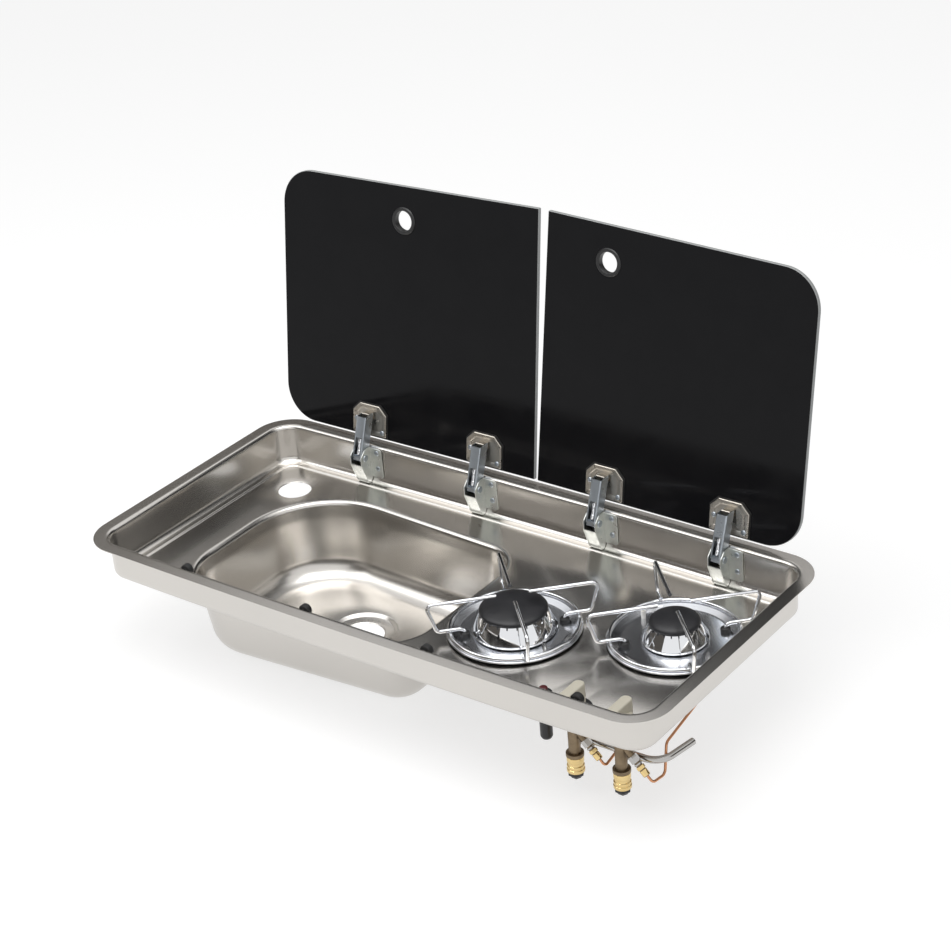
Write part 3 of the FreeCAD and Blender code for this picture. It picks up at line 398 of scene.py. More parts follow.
def headTree():
    # A domed head on each point, with its axis along the point's aim.
    tree, source, output = newTree("domedHeads", {
        "Radius": "NodeSocketFloat", "Height": "NodeSocketFloat", "Material": "NodeSocketMaterial"})
    ball = tree.nodes.new("GeometryNodeMeshUVSphere")
    ball.inputs["Segments"].default_value = 32
    ball.inputs["Rings"].default_value = 16
    ball.inputs["Radius"].default_value = 1
    scale = tree.nodes.new("ShaderNodeCombineXYZ")
    shape = tree.nodes.new("GeometryNodeTransform")
    aim = tree.nodes.new("GeometryNodeInputNamedAttribute")
    aim.data_type = "FLOAT_VECTOR"
    aim.inputs["Name"].default_value = "aim"
    turn = tree.nodes.new("FunctionNodeAlignRotationToVector")
    turn.axis = "Z"
    spread = tree.nodes.new("GeometryNodeInstanceOnPoints")
    for axis in ("X", "Y"):
        tree.links.new(source.outputs["Radius"], scale.inputs[axis])
    tree.links.new(source.outputs["Height"], scale.inputs["Z"])
    tree.links.new(ball.outputs["Mesh"], shape.inputs["Geometry"])
    tree.links.new(scale.outputs["Vector"], shape.inputs["Scale"])
    tree.links.new(aim.outputs["Attribute"], turn.inputs["Vector"])
    tree.links.new(source.outputs["Geometry"], spread.inputs["Points"])
    tree.links.new(shape.outputs["Geometry"], spread.inputs["Instance"])
    tree.links.new(turn.outputs["Rotation"], spread.inputs["Rotation"])
    finishTree(tree, source, output, spread.outputs["Instances"], "Material")
    return tree


def slotTree():
    # Small blocks set round a circle, each facing outwards.
    tree, source, output = newTree("slotRing", {
        "Count": "NodeSocketInt", "Ring Radius": "NodeSocketFloat", "Slot Size": "NodeSocketVector",
        "Middle": "NodeSocketVector", "Material": "NodeSocketMaterial"})
    ring = tree.nodes.new("GeometryNodeMeshCircle")
    tooth = tree.nodes.new("GeometryNodeMeshCube")
    place = tree.nodes.new("GeometryNodeInputPosition")
    turn = tree.nodes.new("FunctionNodeAlignRotationToVector")
    turn.axis = "X"
    spread = tree.nodes.new("GeometryNodeInstanceOnPoints")
    shift = tree.nodes.new("GeometryNodeTransform")
    tree.links.new(source.outputs["Count"], ring.inputs["Vertices"])
    tree.links.new(source.outputs["Ring Radius"], ring.inputs["Radius"])
    tree.links.new(source.outputs["Slot Size"], tooth.inputs["Size"])
    tree.links.new(place.outputs["Position"], turn.inputs["Vector"])
    tree.links.new(ring.outputs["Mesh"], spread.inputs["Points"])
    tree.links.new(tooth.outputs["Mesh"], spread.inputs["Instance"])
    tree.links.new(turn.outputs["Rotation"], spread.inputs["Rotation"])
    tree.links.new(spread.outputs["Instances"], shift.inputs["Geometry"])
    tree.links.new(source.outputs["Middle"], shift.inputs["Translation"])
    finishTree(tree, source, output, shift.outputs["Geometry"], "Material")
    return tree


def grow(name, tree, verts, edges, values, aims=None):
    # Runs a tree on a mesh of points and edges and returns the mesh it makes.
    mesh = bpy.data.meshes.new(name)
    mesh.from_pydata([tuple(vert) for vert in verts], edges, [])
    if aims:
        attribute = mesh.attributes.new("aim", "FLOAT_VECTOR", "POINT")
        for i, aim in enumerate(aims):
            attribute.data[i].vector = aim
    thing = bpy.data.objects.new(name, mesh)
    bpy.context.scene.collection.objects.link(thing)
    modifier = thing.modifiers.new("grow", "NODES")
    modifier.node_group = tree
    for item in tree.interface.items_tree:
        if item.in_out == "INPUT" and item.name in values:
            modifier[item.identifier] = values[item.name]
    graph = bpy.context.evaluated_depsgraph_get()
    made = bpy.data.meshes.new_from_object(thing.evaluated_get(graph))
    bpy.data.objects.remove(thing)
    bpy.data.meshes.remove(mesh)
    return made


def chain(paths):
    # Points and edges of several open paths.
    verts = []
    edges = []
    for path in paths:
        edges += [(len(verts) + i, len(verts) + i + 1) for i in range(len(path) - 1)]
        verts += path
    return verts, edges


roundWire = wireTree()
domedHeads = headTree()
slotRing = slotTree()


# Materials

texture = {"detail": 3, "low": 0.3, "high": 0.7, "grainDetail": 2, "depth": 0.0003}


def finish(name, look):
    # Soft clouds of tone and roughness over the whole piece, and a fine grain.
    material = bpy.data.materials.new(name)
    material.use_nodes = True
    tree = material.node_tree
    shader = tree.nodes["Principled BSDF"]
    shader.inputs["Metallic"].default_value = look.get("metallic", 0)
    shader.inputs["Specular IOR Level"].default_value = look.get("specular", 0.5)
    coords = tree.nodes.new("ShaderNodeTexCoord")
    clouds = tree.nodes.new("ShaderNodeTexNoise")
    clouds.inputs["Scale"].default_value = look.get("clouds", 14)
    clouds.inputs["Detail"].default_value = texture["detail"]
    tone = tree.nodes.new("ShaderNodeMix")
    tone.data_type = "RGBA"
    tone.inputs["A"].default_value = (*look["color"], 1)
    tone.inputs["B"].default_value = (*look["tint"], 1)
    rough = tree.nodes.new("ShaderNodeMapRange")
    rough.inputs["From Min"].default_value = texture["low"]
    rough.inputs["From Max"].default_value = texture["high"]
    rough.inputs["To Min"].default_value = look["rough"][0]
    rough.inputs["To Max"].default_value = look["rough"][1]
    grain = tree.nodes.new("ShaderNodeTexNoise")
    grain.inputs["Scale"].default_value = look.get("grain", 900)
    grain.inputs["Detail"].default_value = texture["grainDetail"]
    bump = tree.nodes.new("ShaderNodeBump")
    bump.inputs["Strength"].default_value = look["bump"]
    bump.inputs["Distance"].default_value = texture["depth"]
    link = tree.links.new
    link(coords.outputs["Object"], clouds.inputs["Vector"])
    link(clouds.outputs["Fac"], tone.inputs["Factor"])
    link(clouds.outputs["Fac"], rough.inputs["Value"])
    link(tone.outputs["Result"], shader.inputs["Base Color"])
    link(rough.outputs["Result"], shader.inputs["Roughness"])
    link(coords.outputs["Object"], grain.inputs["Vector"])
    link(grain.outputs["Fac"], bump.inputs["Height"])
    link(bump.outputs["Normal"], shader.inputs["Normal"])
    return material


stainless = finish("stainless", {
    "color": (0.65, 0.625, 0.59), "tint": (0.60, 0.58, 0.55), "metallic": 1, "rough": (0.21, 0.25),
    "clouds": 5, "bump": 0})
blackGlass = finish("blackGlass", {
    "color": (0.006, 0.006, 0.007), "tint": (0.009, 0.009, 0.010), "rough": (0.05, 0.12),
    "clouds": 30, "specular": 0.10, "bump": 0.01})
groundEdge = finish("groundEdge", {
    "color": (0.36, 0.37, 0.37), "tint": (0.30, 0.31, 0.31), "rough": (0.35, 0.5), "bump": 0.1})
blackPlastic = finish("blackPlastic", {
    "color": (0.012, 0.012, 0.013), "tint": (0.018, 0.018, 0.019), "rough": (0.32, 0.45), "bump": 0.08})
rubber = finish("rubber", {
    "color": (0.010, 0.010, 0.010), "tint": (0.016, 0.016, 0.016), "rough": (0.42, 0.6), "bump": 0.12})
nickel = finish("nickel", {
    "color": (0.60, 0.56, 0.50), "tint": (0.50, 0.47, 0.42), "metallic": 1, "rough": (0.24, 0.36),
    "clouds": 60, "bump": 0.08})
zinc = finish("zinc", {
    "color": (0.48, 0.52, 0.56), "tint": (0.36, 0.40, 0.44), "metallic": 1, "rough": (0.25, 0.4),
    "clouds": 90, "bump": 0.1})
brightSteel = finish("brightSteel", {
    "color": (0.80, 0.81, 0.79), "tint": (0.62, 0.65, 0.62), "metallic": 1, "rough": (0.26, 0.4),
    "clouds": 160, "bump": 0.12})
chrome = finish("chrome", {
    "color": (0.80, 0.81, 0.83), "tint": (0.76, 0.77, 0.79), "metallic": 1, "rough": (0.03, 0.07),
    "bump": 0.01})
panSteel = finish("panSteel", {
    "color": (0.80, 0.81, 0.84), "tint": (0.74, 0.76, 0.80), "metallic": 1, "rough": (0.18, 0.24),
    "bump": 0})
# Black enamel of the burner caps, also used for the painted shade in the flame slots.
enamelAndSlotShade = finish("enamelAndSlotShade", {
    "color": (0.010, 0.010, 0.012), "tint": (0.015, 0.015, 0.018), "rough": (0.38, 0.5),
    "grain": 1500, "bump": 0.15})
beige = finish("beige", {
    "color": (0.60, 0.565, 0.47), "tint": (0.56, 0.525, 0.43), "rough": (0.3, 0.42), "clouds": 40,
    "grain": 1400, "bump": 0.06})
redPlastic = finish("redPlastic", {
    "color": (0.09, 0.010, 0.012), "tint": (0.07, 0.008, 0.010), "rough": (0.25, 0.35), "bump": 0.05})
brass = finish("brass", {
    "color": (0.86, 0.67, 0.34), "tint": (0.70, 0.51, 0.22), "metallic": 1, "rough": (0.08, 0.2),
    "clouds": 90, "bump": 0.05})
bronze = finish("bronze", {
    "color": (0.30, 0.23, 0.15), "tint": (0.16, 0.12, 0.08), "metallic": 1, "rough": (0.35, 0.55),
    "clouds": 120, "bump": 0.3, "grain": 600})
pipeSteel = finish("pipeSteel", {
    "color": (0.50, 0.49, 0.47), "tint": (0.42, 0.41, 0.40), "metallic": 1, "rough": (0.10, 0.2),
    "clouds": 60, "bump": 0.04})
copper = finish("copper", {
    "color": (0.70, 0.36, 0.20), "tint": (0.52, 0.25, 0.13), "metallic": 1, "rough": (0.18, 0.3),
    "clouds": 80, "bump": 0.04})
aluminium = finish("aluminium", {
    "color": (0.55, 0.55, 0.56), "tint": (0.45, 0.45, 0.46), "metallic": 1, "rough": (0.4, 0.55),
    "clouds": 80, "bump": 0.25})
porcelain = finish("porcelain", {
    "color": (0.78, 0.76, 0.72), "tint": (0.72, 0.70, 0.66), "rough": (0.2, 0.3), "bump": 0.03})
sheath = finish("sheath", {
    "color": (0.014, 0.014, 0.014), "tint": (0.02, 0.02, 0.02), "rough": (0.4, 0.55), "bump": 0.05})
print("materials made")


# Tray and bowl, one sheet drawn from the rim to the drain

tray = {
    "bow": 4.5, "corner": 46, "rim": 19, "roll": 5, "depth": 50, "sheet": 1,
    "footRound": 8, "shelf": 2.5, "step": 1.6, "stepRun": 3.5,
    "rimRows": (0, 1, 6), "rollLead": 2, "wallLead": 4, "wallRow": 5, "wallRows": 6, "floorLead": 2,
    "bowSteps": 24, "cornerSteps": 18, "endSteps": 8, "rollSteps": 8, "footSteps": 9, "stepSteps": 6,
}
bowl = {
    "ledge": 30, "width": 259, "frontSlant": 22, "backSlant": 17,
    "frontCorner": 72, "corner": 48, "tapCorner": 100, "leastCorner": 0.5,
    "edge": 7, "edgeLead": 2, "draft": 14, "floor": 145, "round": 30, "lip": 9,
    "side": 14, "arc": 18, "edgeSteps": 8, "wallSteps": 8, "roundSteps": 14,
    "drain": 26, "recess": 40, "recessDeep": 4,
    "recessEdge": ((3, 0), (1, -0.7)),  # rounded edges are (out, up) from the sharp corner
    "recessFoot": ((-0.5, 0.9), (-2.5, 0)),
    "drainEdge": ((2, 0), (0.5, -0.3), (0, -0.9)),
}
holes = {
    "tap": 20, "tapFromEnd": 60.5, "tapFromBack": 64, "burner": 27, "stem": 6.5, "igniter": 6.2,
    "edge": ((1.2, 0), (0.3, -0.3), (0, -1)),
}
trayLow, trayHigh = (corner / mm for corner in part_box("tray"))
bowlLow, bowlHigh = (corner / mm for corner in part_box("sink_bowl"))
floorTop = -tray["depth"]
bowlFront = tray["rim"] - trayHigh.y + bowl["ledge"]
bowlBack = bowlFront + bowl["width"]


def trayLoop(inward):
    halfLength = trayHigh.x
    halfWidth = trayHigh.y
    bowR = (halfLength ** 2 + tray["bow"] ** 2) / (2 * tray["bow"])
    bowY = halfWidth - bowR
    cornerX = halfLength - tray["corner"]
    cornerY = bowY + math.sqrt((bowR - tray["corner"]) ** 2 - cornerX ** 2)
    lean = math.atan2(cornerX, cornerY - bowY)
    radius = tray["corner"] - inward
    quarter = []
    for i in range(tray["endSteps"]):
        quarter.append((halfLength - inward, cornerY * i / tray["endSteps"]))
    for i in range(tray["cornerSteps"]):
        turn = (math.pi / 2 - lean) * i / tray["cornerSteps"]
        quarter.append((cornerX + radius * math.cos(turn), cornerY + radius * math.sin(turn)))
    for i in range(tray["bowSteps"] + 1):
        turn = lean * (1 - i / tray["bowSteps"])
        quarter.append(((bowR - inward) * math.sin(turn), bowY + (bowR - inward) * math.cos(turn)))
    half = quarter + [(-x, y) for x, y in quarter[-2::-1]]
    return half + [(-x, -y) for x, y in half[1:-1]]


def bowlLoop(inset):
    left, right = bowlLow.x + bowl["lip"], bowlHigh.x - bowl["lip"]
    corners = insetCorners([
        (left, bowlFront, bowl["frontCorner"]), (right, bowlFront + bowl["frontSlant"], bowl["corner"]),
        (right, bowlBack - bowl["backSlant"], bowl["corner"]), (left, bowlBack, bowl["tapCorner"])], inset)
    count = len(corners)
    arcs = []
    for i, corner in enumerate(corners):
        spots = [Vector(corners[j % count][:2]) for j in (i - 1, i, i + 1)]
        arcs.append(cornerArc(*spots, max(corner[2], bowl["leastCorner"]), bowl["arc"]))
    points = []
    for i, arc in enumerate(arcs):
        points += arc
        ahead = arcs[(i + 1) % count][0]
        for j in range(1, bowl["side"]):
            points.append(arc[-1].lerp(ahead, j / bowl["side"]))
    return points


def trayProfile():
    # From the edge of the rim inwards and down to the floor: (inward, height).
    rim, roll, foot = tray["rim"], tray["roll"], tray["footRound"]
    shelf = floorTop + tray["step"]
    rows = [(inward, 0) for inward in tray["rimRows"]]
    rows.append((rim - roll - tray["rollLead"], 0))
    for turn in quarterTurns(tray["rollSteps"]):
        rows.append((rim - roll + roll * math.sin(turn), roll * math.cos(turn) - roll))
    for i in range(tray["wallRows"]):
        rows.append((rim, -roll - tray["wallLead"] - tray["wallRow"] * i))
    for turn in quarterTurns(tray["footSteps"]):
        rows.append((rim + foot - foot * math.cos(turn), shelf + foot - foot * math.sin(turn)))
    start = rim + foot + tray["shelf"]
    for i in range(tray["stepSteps"] + 1):
        share = i / tray["stepSteps"]
        ease = share * share * (3 - 2 * share)
        rows.append((start + tray["stepRun"] * share, shelf - tray["step"] * ease))
    rows.append((start + tray["stepRun"] + tray["floorLead"], floorTop))
    return rows


def bowlProfile():
    # From the floor over a rounded edge, down the drafted wall and round to the bottom.
    edge, radius = bowl["edge"], bowl["round"]
    edgeZ = floorTop - edge
    rows = [(-edge - bowl["edgeLead"], floorTop)]
    for turn in quarterTurns(bowl["edgeSteps"]):
        rows.append((edge * math.sin(turn) - edge, edgeZ + edge * math.cos(turn)))
    fall = floorTop + bowl["floor"]
    lean = math.atan2(bowl["draft"], fall)
    centreZ = radius - bowl["floor"]
    centreIn = bowl["draft"] * (floorTop - centreZ) / fall + radius / math.cos(lean)
    touchZ = centreZ - radius * math.sin(lean)
    for i in range(1, bowl["wallSteps"]):
        z = edgeZ + (touchZ - edgeZ) * i / bowl["wallSteps"]
        rows.append((bowl["draft"] * (floorTop - z) / fall, z))
    for i in range(bowl["roundSteps"] + 1):
        turn = math.pi + lean + (math.pi / 2 - lean) * i / bowl["roundSteps"]
        rows.append((centreIn + radius * math.cos(turn), centreZ + radius * math.sin(turn)))
    return rows


def drawnHole(bm, x, y, rows):
    loops = [addLoop(bm, circlePoints(x, y, radius), z) for radius, z in rows]
    bridgeAll(bm, loops)
    return loops[0]


def traySheet():
    bm = bmesh.new()
    rim = [addLoop(bm, trayLoop(inward), z) for inward, z in trayProfile()]
    tub = [addLoop(bm, bowlLoop(inset), z) for inset, z in bowlProfile()]
    bridgeAll(bm, rim)
    bridgeAll(bm, tub)
    tapX = trayLow.x + tray["rim"] + holes["tapFromEnd"]
    tapY = trayHigh.y - tray["rim"] - holes["tapFromBack"]
    spots = [(tapX, tapY, holes["tap"])]
    for side in sides:
        spots.append((*placeOf(f"burner_cup_{side}"), holes["burner"]))
        spots.append((*placeOf(f"valve_stem_{side}"), holes["stem"]))
    spots.append((*placeOf("igniter_body"), holes["igniter"]))
    around = [drawnHole(bm, x, y, eased(radius, floorTop, holes["edge"])) for x, y, radius in spots]
    fillFlat(bm, [rim[-1], tub[0], *around])
    low = -bowl["floor"]
    sunk = low - bowl["recessDeep"]
    rows = eased(bowl["recess"], low, bowl["recessEdge"])
    rows += eased(bowl["recess"], sunk, bowl["recessFoot"])
    rows += eased(bowl["drain"], sunk, bowl["drainEdge"])
    drainX = (bowlLow.x + bowlHigh.x) / 2
    drainY = (bowlFront + bowl["frontSlant"] + bowlBack) / 2
    fillFlat(bm, [tub[-1], drawnHole(bm, drainX, drainY, rows)])
    bmesh.ops.remove_doubles(bm, verts=bm.verts, dist=mergeGap)
    bmesh.ops.recalc_face_normals(bm, faces=bm.faces)
    bm.faces.ensure_lookup_table()
    if bm.faces[0].normal.z < 0:
        bmesh.ops.reverse_faces(bm, faces=bm.faces)
    return bm


def thickened(mesh, thickness):
    thing = bpy.data.objects.new("sheet", mesh)
    bpy.context.scene.collection.objects.link(thing)
    shell = thing.modifiers.new("shell", "SOLIDIFY")
    shell.thickness = thickness
    shell.offset = -1
    shell.use_even_offset = True
    made = bpy.data.meshes.new_from_object(thing.evaluated_get(bpy.context.evaluated_depsgraph_get()))
    bpy.data.objects.remove(thing)
    bpy.data.meshes.remove(mesh)
    return made


sheetMesh = thickened(meshFrom("traySheet", traySheet(), outward=False), tray["sheet"] * mm)
piece("trayAndBowl", sheetMesh, "base", ["tray", "sink_bowl"], [stainless], sharp=50)
print("tray and bowl drawn")


# Lids and finger rings, drawn closed and then swung open

lid = {
    "frontMargin": 2.5, "backMargin": 12.5, "leftOver": 3.5, "rightShort": 17, "gap": 3.5, "split": 1.75,
    "corner": 44, "innerCorner": 1.2, "low": 2.5, "thick": 5, "edge": 0.7,
    "axisIn": 17.6, "axisDrop": 6.9,
}
ring = {
    "outer": 17, "hole": 12, "neck": 13.8, "play": 0.2, "lip": 1.7,
    "holeRound": 0.9, "lipRound": 1, "seatRound": 0.3,
}


def sideFrame(side):
    # The hinge line's frame in metres: along the lid, back from the rim's edge, and up.
    joint = jointNamed[f"lid_{side}_close"]
    along = Vector(joint["axis"]).normalized()
    back = up.cross(along)
    start = Vector(joint["pos_m"]) + back * lid["axisIn"] * mm + up * lid["axisDrop"] * mm
    return Matrix.Translation(start) @ Matrix((along, back, up)).transposed().to_4x4()


def openLid(side):
    joint = jointNamed[f"lid_{side}_close"]
    place = Matrix.Translation(joint["pos_m"])
    swing = Matrix.Rotation(-math.radians(joint["range_deg"][1]), 4, Vector(joint["axis"]))
    return place @ swing @ place.inverted()


def lidOutline(side):
    start = sideFrame(side).translation / mm
    along = Vector(jointNamed[f"lid_{side}_close"]["axis"])
    slope = along.y / along.x
    wall = start.y - tray["rim"]
    openEnd = trayHigh.x - tray["rim"]
    if side == "left":
        inner, outer = lid["split"] - lid["gap"] / 2, -openEnd - lid["leftOver"]
    else:
        inner, outer = lid["split"] + lid["gap"] / 2, openEnd - lid["rightShort"]

    def front(x):
        return lid["frontMargin"] - wall - slope * (x - start.x)

    def back(x):
        return wall - lid["backMargin"] + slope * (x - start.x)

    small, large = lid["innerCorner"], lid["corner"]
    corners = [
        (inner, front(inner), small), (outer, front(outer), large),
        (outer, back(outer), large), (inner, back(inner), small)]
    return softened(corners if outer > inner else corners[::-1], steps=20)


def ringProfile():
    low, high = lid["low"], lid["low"] + lid["thick"]
    lip, hole, neck, outer = ring["lip"], ring["hole"], ring["neck"], ring["outer"]
    inside, brow, seat = ring["holeRound"], ring["lipRound"], ring["seatRound"]
    return softened([
        (hole, low - lip, inside), (outer - lip, low - lip, brow), (outer, low, seat), (neck, low),
        (neck, high), (outer, high, seat), (outer - lip, high + lip, brow),
        (hole, high + lip, inside)], steps=5)


for side in sides:
    swing = inMetres(openLid(side))
    home = openLid(side).inverted() @ middleOf(f"lid_ring_{side}") / mm
    opening = circlePoints(home.x, home.y, ring["neck"] + ring["play"], 72)
    pane = plate(lidOutline(side), lid["low"], lid["low"] + lid["thick"], lid["edge"], [opening])
    piece(f"pane.{side}", meshFrom("pane", moved(pane, swing)), f"lid_{side}",
          [f"lid_glass_{side}"], [blackGlass, groundEdge], sharp=20)
    grip = moved(ringLathe(ringProfile(), 72), swing @ at(home.x, home.y))
    piece(f"fingerRing.{side}", meshFrom("fingerRing", grip), f"lid_{side}",
          [f"lid_ring_{side}"], [blackPlastic])
print("lids made")


# Hinges

hinge = {
    "plateWide": 50, "plateLong": 38, "plateBack": -34.5, "plateLow": -0.5, "plateHigh": 1.5,
    "plateCorner": 2, "chamfer": 10.5,
    "plateFace": ((0.8, 6), (0.1, 5), (0, 4.7), (0, 0.6), (0.5, 0)),  # (up, inset) with a sunk middle
    "plateRear": ((-0.3, 0), (0, 0.3)),
    "screwX": 19.5, "screwHigh": 17.5, "screwLow": 5.5, "screwR": 3.1, "screwHead": 1.5,
    "lugWide": 10.8, "lugLow": -8.9, "lugFrom": -63.5, "lugTo": -55.5, "lugSunk": 1, "lugEdge": 0.6,
    "armWide": 14, "armDeep": 7, "armSheet": 1.2, "armFront": 50, "armBack": 55,
    "armRows": 12, "armCrest": 2, "armFold": 1.8, "armInnerFold": 0.7,
    "window": 1.5, "windowEnd": 24.5, "windowWide": 8.6,
    "barrelR": 3.2, "barrelDeep": 2.3, "barrelIn": 1.2,
    "barrelEnd": 6, "barrelEase": 0.6, "barrelGroove": 0.5, "barrelRound": 0.3,
    "cheek": 1.3, "cheekEdge": 0.35, "inner": 14.8, "wall": -19.9,
    "top": -1.5, "shoulder": -30.5, "front": -38.5, "brow": -9.5, "step": -20.8,
    "footFront": -28.5, "footBack": -24, "foot": -47,
    "shoulderRound": 6, "browRound": 5, "stepRound": 3, "footRound": 2,
    "webTop": -19.5, "webThick": 1.4, "webIn": 0.2, "webEdge": 0.4,
    "tabWide": 18, "tabFoot": -41, "tabRound": 4,
    "rivets": 2, "rivetAcross": 10.8, "rivetTop": -7.5, "rivetStep": 21, "rivetR": 3.4, "rivetHead": 1.3,
    "pinR": 4.2, "pinHead": 1.2, "pinNeck": 1.7, "pinRound": 0.8, "pinSeat": 0.1,
}
# Turns a flat plate so that its outline lies across the hinge line, or upright along it
across = Matrix(((0, 0, 1, 0), (1, 0, 0, 0), (0, 1, 0, 0), (0, 0, 0, 1)))
upright = Matrix(((1, 0, 0, 0), (0, 0, 1, 0), (0, 1, 0, 0), (0, 0, 0, 1)))


def hingeFrames(side):
    # One frame for each hinge of a lid, and where its pin lies in that frame.
    home = sideFrame(side)
    frames = []
    for pin in solidMiddles(f"hinge_pins_{side}"):
        local = home.inverted() @ pin
        frames.append((home @ Matrix.Translation((local.x, 0, 0)), local.y / mm, local.z / mm))
    return frames


def hingePlate():
    half, cut = hinge["plateWide"] / 2, hinge["chamfer"]
    back, front = hinge["plateBack"], hinge["plateBack"] - hinge["plateLong"]
    corners = [
        (-half, back), (-half, front + cut), (-half + cut, front),
        (half - cut, front), (half, front + cut), (half, back)]
    outline = softened([(x, y, hinge["plateCorner"]) for x, y in corners], steps=3)
    low, high = hinge["plateLow"], hinge["plateHigh"]
    levels = [(low + rise, inset) for rise, inset in hinge["plateFace"]]
    levels += [(high + rise, inset) for rise, inset in hinge["plateRear"]]
    lug = block((-hinge["lugWide"] / 2, hinge["lugFrom"], hinge["lugLow"]),
                (hinge["lugWide"] / 2, hinge["lugTo"], low + hinge["lugSunk"]), hinge["lugEdge"])
    return merged(stacked(outline, levels), lug)


def armStart(z):
    return -math.sqrt(max(hinge["armDeep"] ** 2 - z * z, 0))


def armEnd(z):
    deep = hinge["armDeep"]
    return hinge["armBack"] + (hinge["armFront"] - hinge["armBack"]) * (z + deep) / (2 * deep)


def hingeArm():
    half, deep, sheet = hinge["armWide"] / 2, hinge["armDeep"], hinge["armSheet"]
    crest, fold, innerFold = deep - hinge["armCrest"], hinge["armFold"], hinge["armInnerFold"]
    inside, roof = half - sheet, deep - sheet
    count = hinge["armRows"]
    rows = [-deep + 2 * deep * i / count for i in range(count - 1)]
    channel = [(half, z) for z in rows]
    channel += softened([
        (half, crest), (half, deep, fold), (-half, deep, fold), (-half, crest)], closed=False, steps=5)[1:-1]
    channel += [(-half, z) for z in rows[::-1]]
    channel += [(-inside, z) for z in rows]
    channel += softened([
        (-inside, crest), (-inside, roof, innerFold), (inside, roof, innerFold), (inside, crest)],
        closed=False, steps=3)[1:-1]
    channel += [(inside, z) for z in rows[::-1]]
    start, end, gap = hinge["window"], hinge["windowEnd"], hinge["windowWide"] / 2
    parts = [drawnOut(channel, armStart, lambda z: start), drawnOut(channel, lambda z: end, armEnd)]
    for sign in (-1, 1):
        lip = [(sign * half, z) for z in rows]
        lip += softened([
            (sign * half, crest), (sign * half, deep, fold), (sign * gap, deep)], closed=False)[1:]
        lip += [(sign * gap, roof), (sign * inside, roof), (sign * inside, -deep)]
        parts.append(drawnOut(lip, lambda z: start, lambda z: end))
    return merged(*parts)


def hingeBarrel():
    radius, ease, end = hinge["barrelR"], hinge["barrelEase"], hinge["barrelEnd"]
    groove, soft = hinge["barrelGroove"], hinge["barrelRound"]
    low, high = hinge["window"] + hinge["barrelIn"], hinge["windowEnd"] - hinge["barrelIn"]
    half = [
        (0, 0, 0), (radius - ease, 0, 0), (radius, ease, soft), (radius, end, soft),
        (radius - groove, end + groove, soft)]
    profile = [(far, low + z, curve) for far, z, curve in half]
    profile += [(far, high - z, curve) for far, z, curve in half[::-1]]
    barrel = lathe(softened(profile, closed=False, steps=3), 40)
    return moved(barrel, at(0, 0, hinge["barrelDeep"]) @ turned(-90, "X"))


def hingePin():
    half = hinge["inner"] / 2 + hinge["cheek"]
    end, radius = half + hinge["pinHead"], hinge["pinR"]
    neck, brow, seat = radius - hinge["pinNeck"], hinge["pinRound"], hinge["pinSeat"]
    profile = softened([
        (0, -end), (radius, -end, brow), (radius, -half, seat), (neck, -half),
        (neck, half), (radius, half, seat), (radius, end, brow), (0, end)], closed=False, steps=4)
    return moved(lathe(profile, 48), turned(90, "Y"))


def hingeHousing():
    inner, sheet, edge = hinge["inner"] / 2, hinge["cheek"], hinge["cheekEdge"]
    outer = inner + sheet
    wall, top, front, step = hinge["wall"], hinge["top"], hinge["front"], hinge["step"]
    footFront, foot = hinge["footFront"], hinge["foot"]
    cheek = softened([
        (wall, top), (hinge["shoulder"], top, hinge["shoulderRound"]),
        (front, hinge["brow"], hinge["browRound"]), (front, step, hinge["stepRound"]),
        (footFront, foot, hinge["footRound"]), (hinge["footBack"], foot, hinge["footRound"]),
        (wall, hinge["tabFoot"])], steps=5)[::-1]
    parts = [plate(cheek, inner, outer, edge), plate(cheek, -outer, -inner, edge)]
    thick, webTop, webIn = hinge["webThick"], hinge["webTop"], hinge["webIn"]
    web = [(front, webTop), (front, step), (footFront, foot)]
    web += [(y + thick, z) for y, z in web[::-1]]
    web = [Vector(spot) for spot in web]
    parts.append(plate(web, webIn - outer, outer - webIn, hinge["webEdge"]))
    parts = [moved(part, across) for part in parts]
    near, curve = inner + sheet / 2, hinge["tabRound"]
    far = near + hinge["tabWide"]
    tab = softened([
        (near, hinge["tabFoot"]), (far, hinge["tabFoot"], curve), (far, top, curve), (near, top)], steps=5)
    parts.append(moved(plate(tab, wall - sheet, wall, edge), upright))
    return merged(*parts)


